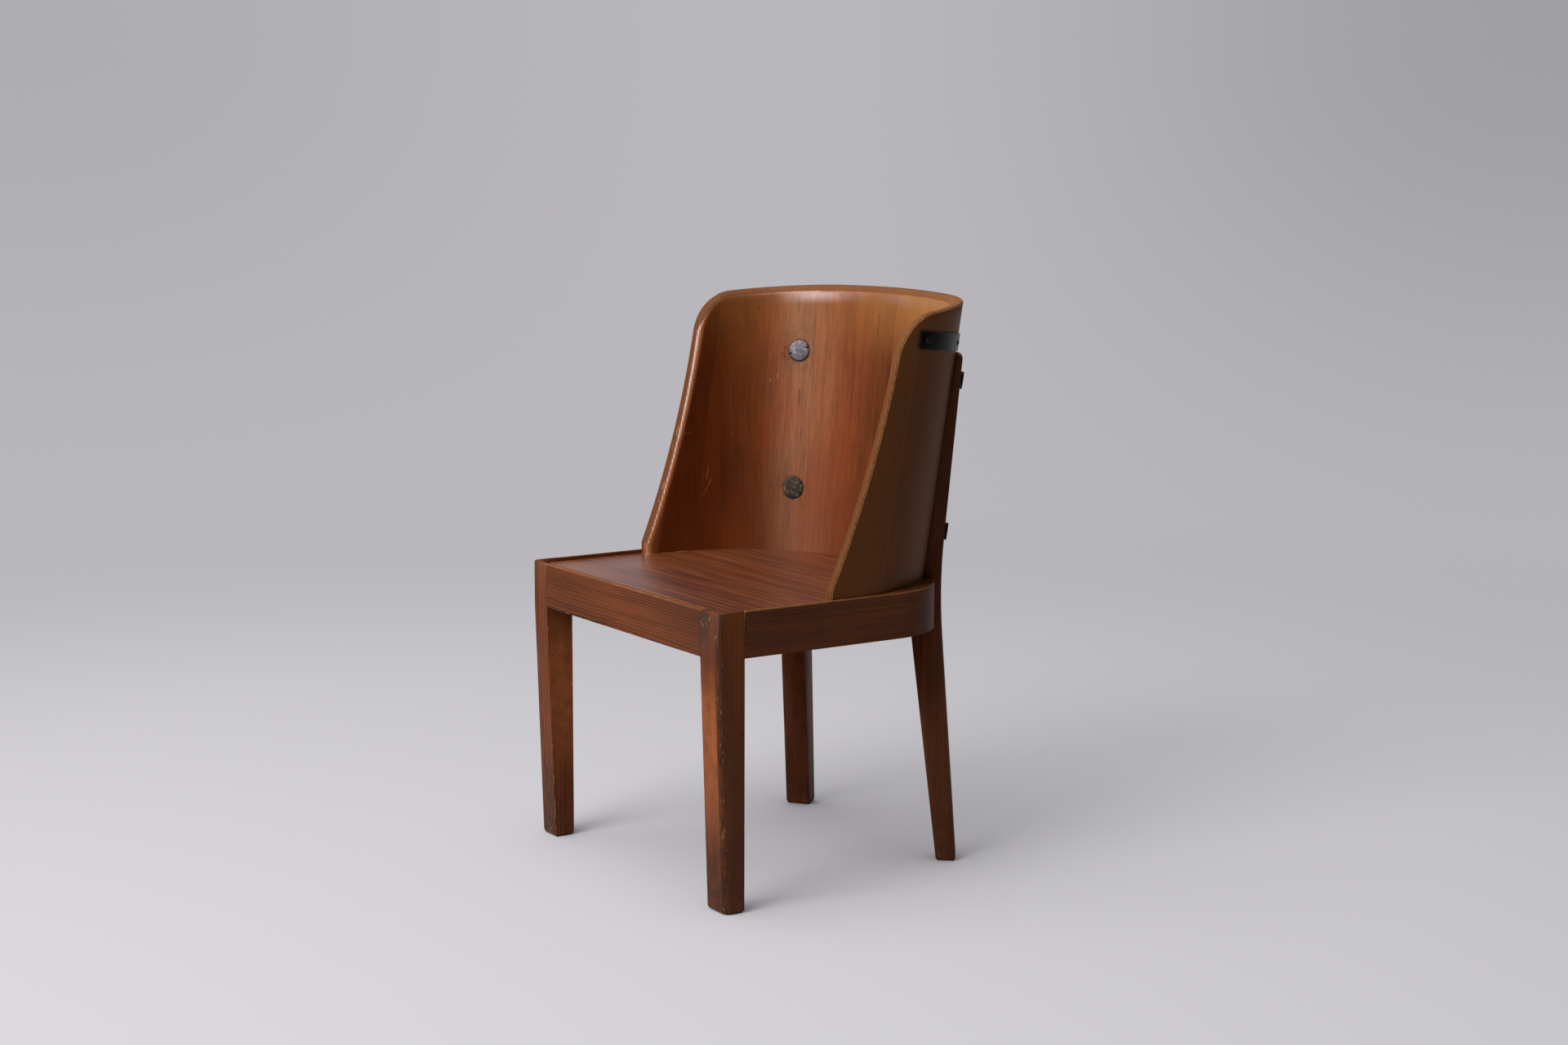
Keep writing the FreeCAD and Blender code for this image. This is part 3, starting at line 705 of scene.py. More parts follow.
def color_steps(value, steps):
    """Colour that passes softly through a list of places and colours."""
    made = node("ShaderNodeValToRGB", {"Fac": value})
    elements = made.color_ramp.elements
    while len(elements) < len(steps):
        elements.new(0.5)
    for element, (share, color) in zip(elements, steps):
        element.position = share
        element.color = color
    made.color_ramp.interpolation = "EASE"
    return field(made)


def turn_share(x, y):
    """0 at the left wing, a half straight back and 1 at the right wing."""
    return x.math("ARCTAN2", y - turn_middle_y) / math.pi + 0.5


turn_middle_y = 0.215
# Painted shade: the darkest tones, near the left wing, darken the inside there.
tones_and_shade_round_the_back = (
    (0.02, srgb(106, 50, 20)), (0.10, srgb(94, 43, 15)), (0.20, srgb(108, 56, 27)),
    (0.265, srgb(148, 98, 66)), (0.33, srgb(142, 84, 48)), (0.39, srgb(128, 66, 34)),
    (0.46, srgb(108, 56, 27)), (0.56, srgb(108, 55, 25)), (0.70, srgb(130, 70, 32)),
    (0.98, srgb(122, 64, 28)),
)


def back_pale_and_shade():
    """Pale colour of the back, painted shade included: its turn share picks a place in the list."""
    x, y, z, spot = chair_place()
    return color_steps(turn_share(x, y), tones_and_shade_round_the_back)


print("tones round the back", len(tones_and_shade_round_the_back))

# %% [markdown]
# The photograph shows a few knocks, scratches and fine lines that stand out. They
# are listed by stave: both ends of each line in millimetres, and its width.

# %% Marks on the back
back_marks = {
    "left_side": (
        ((-228.7, 134, 786), (-228.7, 134, 782.5), 2.4),
        ((-240.9, 109, 785.4), (-239, 112.2, 780.3), 0.8),
        ((-239, 112.2, 780.3), (-239.7, 109.6, 776.6), 0.8),
    ),
    "left_post": (
        ((-189, 183.4, 803), (-188.3, 180, 781), 1.1), ((-172.8, 171.7, 660), (-171.1, 169.3, 637.5), 1.8),
        ((-221.4, 145.9, 786.5), (-219.3, 147.5, 780.3), 0.8),
        ((-219.3, 147.5, 780.3), (-221, 144.1, 775), 0.8),
    ),
    "left_rear": (((-105.1, 198.6, 643), (-105.1, 198.6, 641), 2.0),),
    "left_center": (((-38.2, 225.7, 784), (-38.1, 221.5, 748), 2.2),),
    "right_wing": (((268.3, 34, 718.8), (266, 58, 718.5), 1.1),),
    "right_side": (
        ((266, 58, 718.5), (263.7, 79.4, 718.3), 1.1), ((245.5, 100.4, 596.1), (232, 121, 596.6), 1.1),
    ),
}
back_scratches = {
    "left_wing": (((-244.6, 7, 596), (-242, 40, 595), 1.3),),
    "left_side": (
        ((-242, 40, 595), (-230, 87, 592), 1.3), ((-236, 51, 524), (-237.4, 37, 499), 1.1),
        ((-238.2, 47.6, 541.8), (-238, 43, 524), 1.2),
    ),
    "left_post": (
        ((-201.8, 150, 684), (-201.8, 150, 678), 2.2), ((-208.6, 141, 675), (-208.4, 141, 673), 2.0),
    ),
}
print("marks on the back", sum(len(marks) for marks in (*back_marks.values(), *back_scratches.values())))

# %% [markdown]
# Most of what happens to the back depends on where a point lies: outside or
# inside, near the front edge of a wing, on the rim or on one of the rounded
# edges. So these zones are worked out first, as shares from 0 to 1.

# %% Zones of the back
rim_slope = 0.0875
edge_lean, edge_foot = 0.2035, 0.1023
joint_lean, joint_foot = 0.157, 0.2036


def back_zones(x, y, z, spot):
    """Shares that tell where on the back a point lies and which way it faces."""
    zone = SimpleNamespace()
    zone.from_middle = vectors("SUBTRACT", spot, (0.0, front_y + barrel_y, 0.0))
    normal = face_normal()
    zone.facing = dot(normal, zone.from_middle)
    zone.outside = ramp(zone.facing, -0.02, 0.08)
    zone.inside = zone.outside.less_from(1.0)
    zone.cloud = noise(stretched(spot, 0.4), 11.0, 3.0, 0.55)
    zone.turn = turn_share(x, y)
    height = z - y * rim_slope
    zone.low = fade(z, 0.42, 0.66)
    zone.rim = ramp(height, 0.764, 0.778)
    zone.crown = ramp(height, 0.66, 0.775) * (ramp(zone.turn, 0.3, 0.5) * 0.5 + 0.14)
    before_edge = z * edge_lean + edge_foot - y
    zone.near_edge = ramp(before_edge, -44 * MM, -14 * MM) * ramp(z, 0.55, 0.75)
    zone.beside_edge = ramp(before_edge, -24 * MM, -12 * MM) * zone.inside
    zone.forward = ramp(z * joint_lean + joint_foot - y, 6 * MM, 20 * MM)
    normal_y, normal_z = xyz(normal)[1:]
    left_most = ramp(x * -1, -0.1, 0.1) * 0.75 + 0.25
    zone.front_round = ramp(normal_y * -1, 0.12, 0.42) * zone.forward * left_most
    zone.top_round = ramp(normal_z, 0.04, 0.14) * ramp(height, 0.752, 0.770)
    zone.polished = (zone.front_round + zone.rim).clamped()
    return zone


print("the rim falls by", rim_slope, "towards the front")

# %% [markdown]
# Stain comes first: clouds, the golden crown, the darker foot, and an outside
# that has lost its red. Then wear: golden edges, and dirt in the joints inside.

# %% Stain and wear of the back
head_radius = 16.5 * MM
cracks_reach = 48 * MM


def stained_back(zone, stave, color, late):
    """Stain of a stave by its zones."""
    clouded = ramp(zone.cloud, 0.25, 0.6)
    behind = fade((zone.turn - 0.5).math("ABSOLUTE"), 0.25, 0.46)
    tone = 1 - stave_tone[stave.split("_")[1]] * 0.6
    rear_tint = tuple(part * tone for part in srgb(122, 78, 48)[:3]) + (1.0,)
    return layered(
        color,
        (ramp(zone.cloud, 0.48, 0.72) * 0.3, srgb(156, 68, 26)),
        (zone.low * 0.4, srgb(92, 40, 18)),
        (zone.crown * (clouded * 0.5 + 0.5), srgb(186, 128, 68)),
        (zone.near_edge * (clouded * 0.25 + 0.12), srgb(180, 118, 62)),
        (zone.beside_edge * 0.45, srgb(150, 90, 52)),
        (zone.outside * 0.85, blend(behind, srgb(102, 61, 28), rear_tint)),
        (zone.outside * late * 0.45, srgb(44, 25, 11)),
        (zone.polished * zone.inside * 0.45, srgb(178, 104, 50)),
        (zone.polished * late * 0.5, srgb(80, 38, 16)),
    )


def worn_back(zone, spot, color):
    """Bare edges, and lines of dirt or light along the joints."""
    sideways = vectors("CROSS_PRODUCT", (0.0, 0.0, 1.0), zone.from_middle)
    sideways = vectors("NORMALIZE", sideways)
    soft = softened(2.6 * MM)
    worn = corner_share(soft)
    joint = ramp(dot(sideways, soft).math("ABSOLUTE"), 0.1, 0.25) * zone.forward.less_from(1.0)
    chipped = ramp(noise(spot, 90.0, 4.0, 0.65), 0.4, 0.58)
    bare = worn * (zone.forward + zone.rim).clamped() * joint.less_from(1.0) * (chipped * 0.7 + 0.3)
    return layered(
        color,
        (bare, gold),
        (joint * worn * zone.inside * 0.3, soot),
        (joint * worn * zone.outside * 0.3, srgb(150, 112, 76)),
    )


def knocks(stave, spot):
    """Knocks, the listed marks, and the cracks in the varnish round the bolts."""
    knock = ramp(noise(spot, 150.0, 2.0, 0.5), 0.73, 0.79) * 0.6
    for scar in back_marks.get(stave, ()):
        knock = knock + mark(spot, *scar)
    if "post" in stave:
        for bolt in bolt_places[stave.split("_")[0]]:
            away = vectors("DISTANCE", spot, bolt, output="Value")
            values = {"Vector": stretched(spot, 0.6), "Scale": 130.0}
            cells = flow("ShaderNodeTexVoronoi", values, "Distance", feature="DISTANCE_TO_EDGE")
            near_bolt = fade(away, head_radius + 1 * MM, cracks_reach)
            knock = knock + fade(cells, 0.015, 0.05) * near_bolt * 0.7
            knock = knock + fade(away, head_radius + 0.5 * MM, head_radius + 3 * MM) * 0.6
    return knock.clamped()


print("cracks round a bolt reach", round(cracks_reach / MM), "mm from its middle")

# %% [markdown]
# The varnish shines only where hands have polished it: on the rounded front edge
# of the left wing and on the rounded rim, and only on their inward faces. That
# shine is a coat over the wood, and everything else stays satin.

# %% Finish of a stave


def back_finish(stave):
    """Finish of one stave: its stain, wear, knocks and polish."""

    def finish(place, color, late, fibre):
        x, y, z, spot = chair_place()
        zone = back_zones(x, y, z, spot)
        color = stained_back(zone, stave, color, late)
        color = worn_back(zone, spot, color)
        scratches = [mark(spot, *scar) * 0.35 for scar in back_scratches.get(stave, ())]
        color = layered(color, *((scratch, srgb(200, 132, 80)) for scratch in scratches))
        knock = knocks(stave, spot)
        color = blend(knock * 0.55, color, soot)
        inwards = ramp(zone.facing * -1, 0.03, 0.1)
        shine = zone.front_round * ramp(zone.facing * -1, -0.02, 0.03) + zone.top_round * inwards
        shine = (shine + zone.rim * inwards * 0.3).clamped()
        rough = fibre * 0.14 + 0.3 + zone.outside * 0.1 + knock * 0.2
        rough = rough + zone.rim * inwards.less_from(1.0) * 0.2
        uneven = noise(spot, 16.0, 2.0) * 3
        height = late * 0.3 + fibre * 0.4 + zone.polished * late * 1.6 + uneven - knock
        return color, rough, height, (shine * (late * -0.55 + 0.95)).clamped()

    return finish


lean = math.radians(-2.5)
back_dark = srgb(58, 25, 9)
for side, word in ((-1, "left"), (1, "right")):
    for number, (kind, angle) in enumerate(stave_angles.items()):
        name = "stave_%s_%s" % (word, kind)
        low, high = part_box(name)
        middle = (low + high) / 2
        heart, ring, strength = stave_cuts[kind]
        heart = (heart[0] * MM * side, heart[1] * MM)
        origin = (middle.x, middle.y, middle.z - 0.4 - 0.13 * number - 0.2 * side)
        turn = (lean, 0.0, math.radians(-side * angle))
        material = board(
            name + "_pine", origin, turn, heart, ring * MM, strength, (back_pale_and_shade, back_dark),
            0.2 + stave_tone[kind], back_finish(word + "_" + kind),
        )
        dress(chair[name], material)
print("staves", 2 * len(stave_angles))

# %% [markdown]
# The ironwork is forged and dark. The bolt heads have been rubbed to grey and
# have rusted in spots, the lower ones more than the upper ones. The strap is
# blue-black with bright edges. One function makes all these finishes: a patch
# noise for uneven polish, a speckle for pits and a Bevel node for rubbed edges.

# %% Iron


def iron(name, color, bright, rough, pits, edge_width, polish=0.3):
    """Forged iron with pits, uneven shine and rubbed edges."""
    made = new_material(name)
    spot = coordinates()
    speckle = noise(spot, 420.0, 4.0, 0.6)
    patch = noise(spot, 150.0, 4.0, 0.6)
    pit = (ramp(speckle, 0.58, 0.66) + ramp(patch, 0.56, 0.64) * 0.8).clamped() * pits
    rubbed = corner_share(softened(edge_width)) * ramp(patch, 0.22, 0.42)
    rust = srgb(34, 28, 25)
    tint = layered(color, (fade(patch, 0.3, 0.5) * polish, bright), (pit, rust), (rubbed * 0.8, bright))
    lumps = node("ShaderNodeBump", {"Height": patch * 0.6 - pit, "Strength": 0.5, "Distance": lump_height})
    skin = node("ShaderNodeBsdfPrincipled", {
        "Base Color": tint, "Roughness": speckle * 0.3 + rough + pit * 0.2, "Normal": lumps, "Metallic": 0.9,
    })
    node("ShaderNodeOutputMaterial", {"Surface": skin})
    return made


upper_iron = iron("bolt_iron_rubbed", srgb(68, 63, 66), srgb(130, 128, 138), 0.24, 0.35, 1.4 * MM)
lower_iron = iron("bolt_iron_rusty", srgb(34, 28, 22), srgb(164, 152, 130), 0.25, 0.9, 2.2 * MM, 0.14)
nut_iron = iron("nut_iron_dark", srgb(40, 38, 38), srgb(104, 102, 102), 0.42, 0.8, 0.8 * MM)
strap_iron = iron("strap_iron_blue", srgb(14, 16, 20), srgb(150, 154, 164), 0.2, 0.25, 1.0 * MM, 0.04)
nail_iron = iron("nail_iron_dark", srgb(34, 35, 40), srgb(130, 132, 140), 0.3, 0.3, 0.8 * MM, 0.1)
print("nodes in an iron finish", len(strap_iron.node_tree.nodes))

# %% [markdown]
# Bolt heads, nuts and nail heads are all round heads with a shank. They repeat,
# so one Geometry Nodes tree makes them. A grid is rolled up into a head: its X
# runs round the head, and its rows climb the side, turn over the rounded edge
# and close at the crown. A file has cut two notches into each bolt head, so the
# outline steps inwards there. The tree sets one head on each point that it gets.
# A spun profile would make a head as well, but not its notches, and each size
# would need a profile of its own.

# %% A tree that sets round heads


def unit_grid(columns, rows):
    """A flat grid, and the share of the way along and across it at each point."""
    values = {"Size X": 1.0, "Size Y": 1.0, "Vertices X": columns, "Vertices Y": rows}
    grid = node("GeometryNodeMeshGrid", values)
    x, y, z = xyz(node("GeometryNodeInputPosition"))
    return grid, x + 0.5, y + 0.5


last_row = 12
heads, size = new_group(
    "set_round_heads", "GeometryNodeTree",
    (
        ("Geometry", "Geometry"), ("Int", "Sides"),
        ("Float", "Width, Height, Edge Round, Crown, Notch Width, Notch Depth, Dents"),
        ("Float", "Shank Width, Shank Length"), ("Material", "Iron"),
    ),
    (("Geometry", "Geometry"),),
)
grid, share_round, share_up = unit_grid(size["Sides"] + 1, last_row + 1)
around = share_round * (2 * math.pi)
row = share_up * last_row
print("rows of a head", last_row + 1)

# %% [markdown]
# Row 0 is the middle of the underside, row 1 its edge, rows 2 to 5 go round the
# edge and the rest run in over the crown.

# %% The head's outline and profile
quarter_turn = math.pi / 2
half = size["Width"] * 0.5
across = around.math("SINE").math("ABSOLUTE") * half
notched = across.math("LESS_THAN", size["Notch Width"] * 0.5)
outline = half - notched * size["Notch Depth"]
corner = ((row - 2) / 3).clamped() * quarter_turn
inwards = ((row - 5) / (last_row - 5)).clamped().less_from(1.0)
reach = (outline - size["Edge Round"] + corner.math("COSINE") * size["Edge Round"]) * inwards * row.clamped()
swell = size["Crown"] * ((reach / half) * (reach / half)).less_from(1.0) * corner.math("SINE")
side_height = (row - 1).clamped() * (size["Height"] - size["Edge Round"])
lift = side_height + corner.math("SINE") * size["Edge Round"] + swell - size["Height"] - size["Crown"]
values = {"X": reach * around.math("COSINE"), "Y": reach * around.math("SINE"), "Z": lift}
rolled = node("ShaderNodeCombineXYZ", values)
head = node("GeometryNodeSetPosition", {"Geometry": grid, "Position": rolled})
head = node("GeometryNodeMergeByDistance", {"Geometry": head, "Distance": merge_gap})

values = {"Vertices": 20, "Radius": size["Shank Width"] * 0.5, "Depth": size["Shank Length"]}
shank = node("GeometryNodeMeshCylinder", values)
drop = (size["Height"] + size["Crown"] + size["Shank Length"] * 0.5) * -1
lowered = node("ShaderNodeCombineXYZ", {"Z": drop})
shank = node("GeometryNodeTransform", {"Geometry": shank, "Translation": lowered})
values = {"Switch": size["Shank Length"], "True": shank}
shank = node("GeometryNodeSwitch", values, input_type="GEOMETRY")
whole = node("GeometryNodeJoinGeometry")
for part in (shank, head):
    feed(part, whole.inputs[0])
print("nodes for a head", len(heads.nodes))

# %% [markdown]
# Each point knows where its head faces and which way its notches lie. Hand
# forging leaves no two heads alike, so the realized heads are dented a little by
# a noise that depends only on place.

# %% Heads on their points


def dented(shape, scale, depth):
    """A shape pushed in and out along its normals by a noise of place."""
    dent = (noise(node("GeometryNodeInputPosition"), scale, 2.0) - 0.5) * depth
    push = scaled(node("GeometryNodeInputNormal"), dent)
    return node("GeometryNodeSetPosition", {"Geometry": shape, "Offset": push})


def end_tree(shape, metal):
    """Shade a shape smooth, make it real, give it its iron and let it out."""
    shape = node("GeometryNodeSetShadeSmooth", {"Geometry": shape})
    shape = node("GeometryNodeRealizeInstances", {"Geometry": shape})
    shape = node("GeometryNodeSetMaterial", {"Geometry": shape, "Material": metal})
    node("NodeGroupOutput", {0: shape})


def stored(name):
    """A vector that each point of the starting mesh carries."""
    return node("GeometryNodeInputNamedAttribute", {"Name": name}, data_type="FLOAT_VECTOR")


values = {"Vector": stored("facing")}
turned = node("FunctionNodeAlignRotationToVector", values, axis="Z")
values = {"Rotation": turned, "Vector": stored("notch")}
turned = node("FunctionNodeAlignRotationToVector", values, axis="X", pivot_axis="Z")
values = {"Points": size["Geometry"], "Instance": whole, "Rotation": turned}
placed = node("GeometryNodeInstanceOnPoints", values)
real = node("GeometryNodeRealizeInstances", {"Geometry": placed})
end_tree(dented(real, 260.0, size["Dents"]), size["Iron"])
print("nodes of the heads' tree", len(heads.nodes))

# %% [markdown]
# A modifier runs the tree on a mesh of points, and the result is kept as a plain
# mesh. Each point of that mesh carries two vectors, measured on the CAD piece.

# %% Running a tree
iron_crease = math.radians(50)
notch_from, notch_to = 6 * MM, 14 * MM


def grown(name, tree, start, values):
    """Run a Geometry Nodes tree on a mesh and keep the result as a plain piece."""
    maker = add_object(name + "_maker", start)
    modifier = maker.modifiers.new("grow", "NODES")
    modifier.node_group = tree
    names = {item.name: item.identifier for item in tree.interface.items_tree if item.in_out == "INPUT"}
    for key, value in values.items():
        modifier[names[key]] = value
    graph = bpy.context.evaluated_depsgraph_get()
    mesh = bpy.data.meshes.new_from_object(maker.evaluated_get(graph))
    bpy.data.objects.remove(maker)
    mesh.name = name
    mesh.set_sharp_from_angle(angle=iron_crease)
    return add_object(name, mesh)


def carry(mesh, name, places):
    """Store one vector for each point of a mesh under a name."""
    stored_places = mesh.attributes.new(name, "FLOAT_VECTOR", "POINT")
    for index, place in enumerate(places):
        stored_places.data[index].vector = place


def notch_way(inner, axis, name):
    """Direction from a bolt head's middle to one of its notches."""
    total = Vector()
    for vertex in chair[name].data.vertices:
        away = vertex.co - inner
        if away.dot(axis) < flat_within and notch_from < away.length < notch_to:
            total = total + (away if away.dot(total) >= 0 else -away)
    return total.normalized() if total.length > 0 else Vector((0.0, 0.0, 1.0))


def head_points(name, entries):
    """A mesh with one point for each head, its facing and its notch."""
    mesh = bpy.data.meshes.new(name)
    mesh.from_pydata([place for place, facing, notch in entries], [], [])
    carry(mesh, "facing", [facing for place, facing, notch in entries])
    carry(mesh, "notch", [notch for place, facing, notch in entries])
    return mesh


print("creases stay sharp from", round(math.degrees(iron_crease)), "degrees")

# %% [markdown]
# Sizes of the ironwork. A bolt's head lies inside the back and its shank runs out
# through the board and the post, so its length is measured. A nail has nine
# hammered sides.

# %% Bolts, nuts and nails
bolt_size = {
    "Sides": 96, "Width": 33, "Height": 3.6, "Edge Round": 1.1, "Crown": 0.6,
    "Notch Width": 4, "Notch Depth": 4, "Dents": 0.35, "Shank Width": 10,
}
nut_size = {"Sides": 64, "Width": 25, "Height": 4.7, "Edge Round": 0.9, "Crown": 0.3, "Dents": 0.3}
nail_size = {
    "Sides": 9, "Width": 8, "Height": 0.5, "Edge Round": 0.3, "Crown": 1.3, "Dents": 0.2, "Shank Width": 2.6,
}
jobs = (
    ("bolts_upper", "upper_bolts", bolt_size, upper_iron, "bolt_iron"),
    ("bolts_lower", "lower_bolts", bolt_size, lower_iron, "bolt_iron"),
    ("bolt_nuts", "round_nuts", nut_size, nut_iron, "nut_iron"),
    ("strap_nails", "forged_nails", nail_size, nail_iron, "nail_iron"),
)
for node_name, name, sizes, metal, slot in jobs:
    values = {key: part if key == "Sides" else part * MM for key, part in sizes.items()}
    values["Iron"] = metal
    entries = []
    for inner, outer, axis in fasteners[node_name]:
        if node_name.startswith("bolts"):
            entries.append((inner, -axis, notch_way(inner, axis, node_name)))
        else:
            entries.append((outer, axis, Vector((0.0, 0.0, 1.0))))
    if "Shank Width" in sizes:
        inner, outer, axis = fasteners[node_name][0]
        values["Shank Length"] = (outer - inner).length - values["Height"] - values["Crown"]
    piece = grown(name, heads, head_points(name + "_points", entries), values)
    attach(piece, "root")
    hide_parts(node_name)
    print(name, "faces", len(piece.data.polygons))

# %% [markdown]
# The strap is a flat bar that a smith bent round the back. Its way is measured
# on the CAD strap: from a point between its two ends rays go out just below its
# upper edge and just above its lower one, and find its inner and outer side. So
# each direction gives one station of the bar with four corners. Two light passes
# of averaging take the flat facets out of the bend.

# %% Stations along the strap
station_count = 161
averaging_passes = 2
touch = 0.02 * MM
strap_mesh = chair["back_strap"].data
strap_tops = [face for face in strap_mesh.polygons if face.normal.z > 0.9]
strap_up = max(strap_tops, key=lambda face: face.area).normal.copy()
strap_back = strap_up.cross(Vector((1.0, 0.0, 0.0)))
ups = [vertex.co.dot(strap_up) for vertex in strap_mesh.vertices]
ends = min(vertex.co.dot(strap_back) for vertex in strap_mesh.vertices) + touch
strap_height = max(ups) - min(ups)
strap_surface = BVHTree.FromPolygons(
    [vertex.co for vertex in strap_mesh.vertices], [face.vertices for face in strap_mesh.polygons]
)
corners = {name: [] for name in ("inner_low", "outer_low", "inner_high", "outer_high")}
for number in range(station_count):
    turn = math.pi * (number / (station_count - 1) - 0.5)
    direction = Vector((math.sin(turn), 0.0, 0.0)) + strap_back * math.cos(turn)
    for word, up in (("low", min(ups) + touch), ("high", max(ups) - touch)):
        start = strap_up * up + strap_back * ends
        corners["inner_" + word].append(strap_surface.ray_cast(start, direction)[0])
        corners["outer_" + word].append(strap_surface.ray_cast(start + direction, -direction)[0])
for name, places in corners.items():
    for number in range(averaging_passes):
        middle = [(a + b * 2 + c) / 4 for a, b, c in zip(places, places[1:], places[2:])]
        places = [places[0]] + middle + [places[-1]]
    corners[name] = places
strap_thickness = (corners["outer_low"][0] - corners["inner_low"][0]).length
print("strap", round(strap_height / MM, 1), "mm high and", round(strap_thickness / MM, 2), "mm thick")

# %% [markdown]
# The second Geometry Nodes tree lays a bar along such stations. Rows of a grid
# run round the section, five for each rounded corner. Its first and last column
# shrink to a point and close the ends, and a noise leaves hammer marks. A curve
# with a profile is the usual way to make a bar, but its section would turn where
# the strap leans, and here all four corners keep to their measured lines.

# %% A tree that bends a bar along its stations
rows = 20
bender, size = new_group(
    "bend_a_bar", "GeometryNodeTree",
    (
        ("Geometry", "Geometry"), ("Int", "Stations"), ("Float", "Thickness, Height, Edge Round, Dents"),
        ("Material", "Iron"),
    ),
    (("Geometry", "Geometry"),),
)
grid, share_along, share_round = unit_grid(size["Stations"] + 2, rows + 1)
column = (share_along * (size["Stations"] + 1)).math("ROUND")
row = (share_round * rows).math("ROUND")
station = (column - 1).math("MAXIMUM", 0.0).math("MINIMUM", size["Stations"] - 1)
whole_section = column.math("GREATER_THAN", 0.5) * column.math("LESS_THAN", size["Stations"] + 0.5)
quarter = (row / 5).math("FLOOR")
angle = (quarter + (row - quarter * 5) / 4) * quarter_turn
corner_turn = (quarter + 0.5) * quarter_turn
shares = {}
for name, wave in (("Thickness", "COSINE"), ("Height", "SINE")):
    straight = corner_turn.math(wave).math("SIGN") * (size[name] * 0.5 - size["Edge Round"])
    shares[name] = (straight + angle.math(wave) * size["Edge Round"]) / size[name] * whole_section + 0.5


def corner_at(name):
    """One measured corner of the bar at this column's station."""
    values = {"Geometry": size["Geometry"], "Value": stored(name), "Index": station}
    return node("GeometryNodeSampleIndex", values, data_type="FLOAT_VECTOR")


def between(share, first, second):
    """Place between two places by a share."""
    return blend(share, first, second, "VECTOR")


inner = between(shares["Height"], corner_at("inner_low"), corner_at("inner_high"))
outer = between(shares["Height"], corner_at("outer_low"), corner_at("outer_high"))
values = {"Geometry": grid, "Position": between(shares["Thickness"], inner, outer)}
bent = node("GeometryNodeSetPosition", values)
bent = node("GeometryNodeMergeByDistance", {"Geometry": bent, "Distance": merge_gap})
bent = node("GeometryNodeFlipFaces", {"Mesh": bent})
end_tree(dented(bent, 120.0, size["Dents"]), size["Iron"])
print("nodes of the bar's tree", len(bender.nodes))

# %% [markdown]
# Each point of the starting mesh is one station and carries its four corners.
# The tree makes the strap of them, and it takes the place of the CAD strap.

# %% The strap
stations = bpy.data.meshes.new("strap_stations")
stations.from_pydata(corners["outer_low"], [], [])
for name, places in corners.items():
    carry(stations, name, places)
strap_size = {
    "Stations": station_count, "Thickness": strap_thickness, "Height": strap_height,
    "Edge Round": 0.5 * MM, "Dents": 0.25 * MM, "Iron": strap_iron,
}
strap = grown("iron_strap", bender, stations, strap_size)
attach(strap, "root")
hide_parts("back_strap")
print("iron_strap faces", len(strap.data.polygons))

# %% [markdown]
# The chair stands on a pale floor that has no edge: far from the chair the floor
# thins out and the pale surroundings take over. A studio would hang up a roll of
# paper for that. The camera sees the floor a little brighter than the lamps make
# it, except close to the feet, where less open air leaves a soft dark contact.

# %% Floor
floor_radius = 9.0
fades_from, gone_at = 1.3, 3.6
contact_reach = 0.16
floor_glow = 0.38
turns = [math.radians(degrees) for degrees in range(0, 360, 5)]
rim = [(floor_radius * math.cos(turn), floor_radius * math.sin(turn), 0.0) for turn in turns]
floor_mesh = bpy.data.meshes.new("floor")
floor_mesh.from_pydata(rim, [], [list(range(len(rim)))])
floor = add_object("floor", floor_mesh)

floor_look = new_material("pale_floor")
distance = vectors("LENGTH", coordinates(), output="Value")
matt = node("ShaderNodeBsdfDiffuse", {"Color": srgb(196, 194, 198)})
glow = node("ShaderNodeEmission", {"Color": srgb(211, 209, 213), "Strength": 1.0})
open_floor = flow("ShaderNodeAmbientOcclusion", {"Distance": contact_reach}, "AO", samples=8)
camera_ray = flow("ShaderNodeLightPath", None, "Is Camera Ray")
lift = camera_ray * open_floor * open_floor * floor_glow
lifted = node("ShaderNodeMixShader", {0: lift, 1: matt, 2: glow})
clear = node("ShaderNodeBsdfTransparent")
mixed = node("ShaderNodeMixShader", {0: ramp(distance, fades_from, gone_at), 1: lifted, 2: clear})
node("ShaderNodeOutputMaterial", {"Surface": mixed})
floor_mesh.materials.append(floor_look)
print("nodes in the floor's material", len(floor_look.node_tree.nodes))

# %% [markdown]
# The camera sees the surroundings as the photograph's backdrop, a little darker
# at both sides. Glossy and transmitted rays see it too, but behind the camera the
# room is dark, apart from three bright patches: the studio's lamps, as varnish
# shows them. All other rays get a weak light that comes mostly from overhead.

# %% Surroundings
across_the_view = (0.554, 0.833, 0.0)
far_side = (-0.72, 0.55, 0.42)
overhead = (-0.45, -0.25, 0.86)
world = bpy.data.worlds.new("pale_room")
bpy.context.scene.world = world
empty_tree(world)
ray = node("ShaderNodeLightPath")
glossy = field(ray, "Is Glossy Ray")
way = coordinates("Generated")
sideways = dot(way, across_the_view)
rise = ramp(xyz(way)[2], -0.16, 0.03)
dusk = ramp(sideways, 0.0, 0.27) * (rise * 0.22 + 0.05) + ramp(sideways * -1, 0.0, 0.27) * rise * 0.12
dark_room = glossy * fade(dot(way, far_side), -0.1, 0.9) * 0.9
shown = dusk.less_from(1.0) * dark_room.less_from(1.0)
gloss_cards = (
    ((-0.80, -0.53, 0.28), 0.985, 0.95, 2.0),
    ((0.34, -0.92, 0.18), 0.99, 0.92, 4.0),
    ((-0.14, -0.92, 0.37), 0.985, 0.86, 10.0),
)
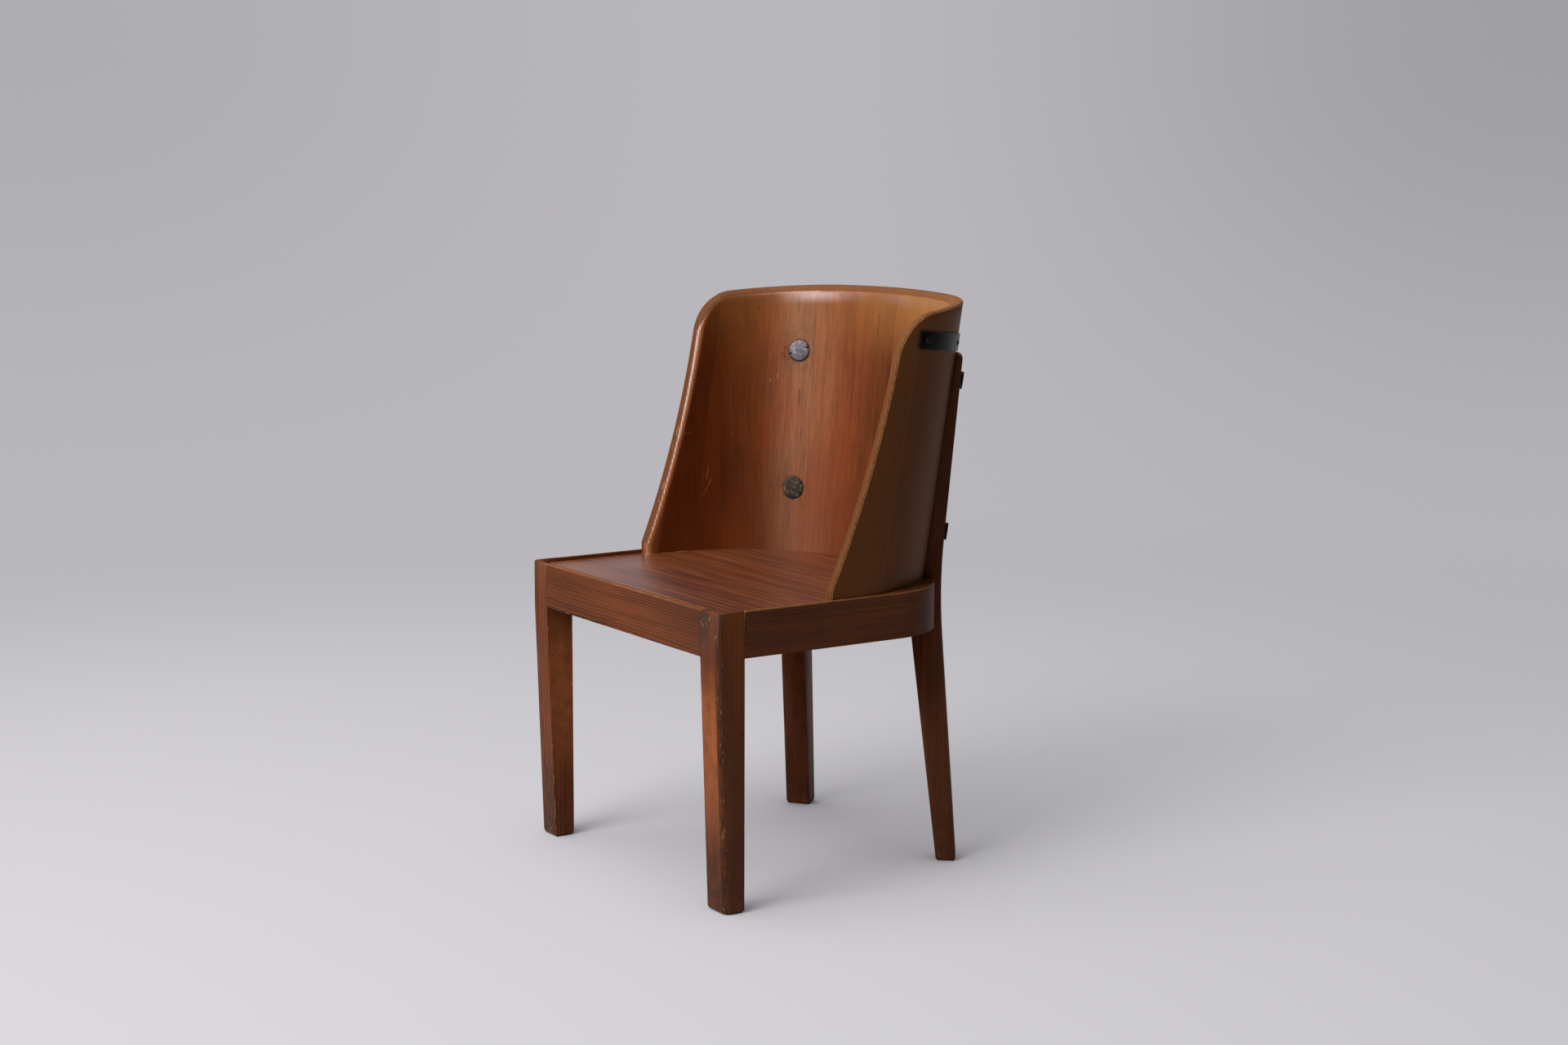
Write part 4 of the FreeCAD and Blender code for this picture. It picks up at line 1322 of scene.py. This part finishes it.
for toward, inner, outer, strength in gloss_cards:
    shown = shown + ramp(dot(way, toward), outer, inner) * strength * glossy
seen = node("ShaderNodeBackground", {"Color": srgb(185, 183, 188), "Strength": shown})
level = ramp(dot(way, overhead), -0.2, 1.0) * 0.3 + 0.03
lit = node("ShaderNodeBackground", {"Color": (1.0, 1.0, 1.02, 1.0), "Strength": level})
showing = (field(ray, "Is Camera Ray") + glossy + field(ray, "Is Transmission Ray")).clamped()
either = node("ShaderNodeMixShader", {0: showing, 1: lit, 2: seen})
node("ShaderNodeOutputWorld", {"Surface": either})
print("bright patches", len(gloss_cards))

# %% [markdown]
# One broad lamp hangs in front of the chair and a weaker one over it. Small lamps
# would draw hard shadows. Both of these are wide, as lamps with a cloth in front
# are, so the shadows on the floor have no hard edge.

# %% Lamps


def lamp(name, place, target, size, power):
    """A broad soft lamp that faces a point."""
    light = bpy.data.lights.new(name, "AREA")
    light.shape = "DISK"
    light.size = size
    light.energy = power
    made = add_object(name, light)
    made.location = place
    made.rotation_euler = (Vector(target) - Vector(place)).to_track_quat("-Z", "Y").to_euler()


lamp("key_lamp", (0.85, -4.0, 3.4), (0.0, 0.0, 0.4), 3.0, 200.0)
lamp("sky_lamp", (-0.3, -0.9, 4.2), (0.0, 0.0, 0.0), 3.6, 100.0)

# %% [markdown]
# The camera stands to the right of the chair's front, a little higher than its
# back, and looks down at it. Its lens is long, so the uprights lean together only
# a little. Its three directions are written as the columns of its matrix, because
# it was placed by directions and not by angles.

# %% Camera
camera = add_object("camera", bpy.data.cameras.new("camera"))
camera.data.lens = 60.95
camera.data.sensor_width = 36.0
right = (0.5539, 0.8326, 0.0040)
up = (-0.1288, 0.0810, 0.9884)
back = (0.8226, -0.5479, 0.1521)
stand = (3.21197, front_y - 1.86030, 1.08173)
rows = [list(row) + [place] for row, place in zip(zip(right, up, back), stand)]
camera.matrix_world = Matrix(rows + [[0, 0, 0, 1]])
bpy.context.scene.camera = camera
bpy.context.scene.view_settings.view_transform = "Standard"
print("camera at", [round(part, 3) for part in stand])
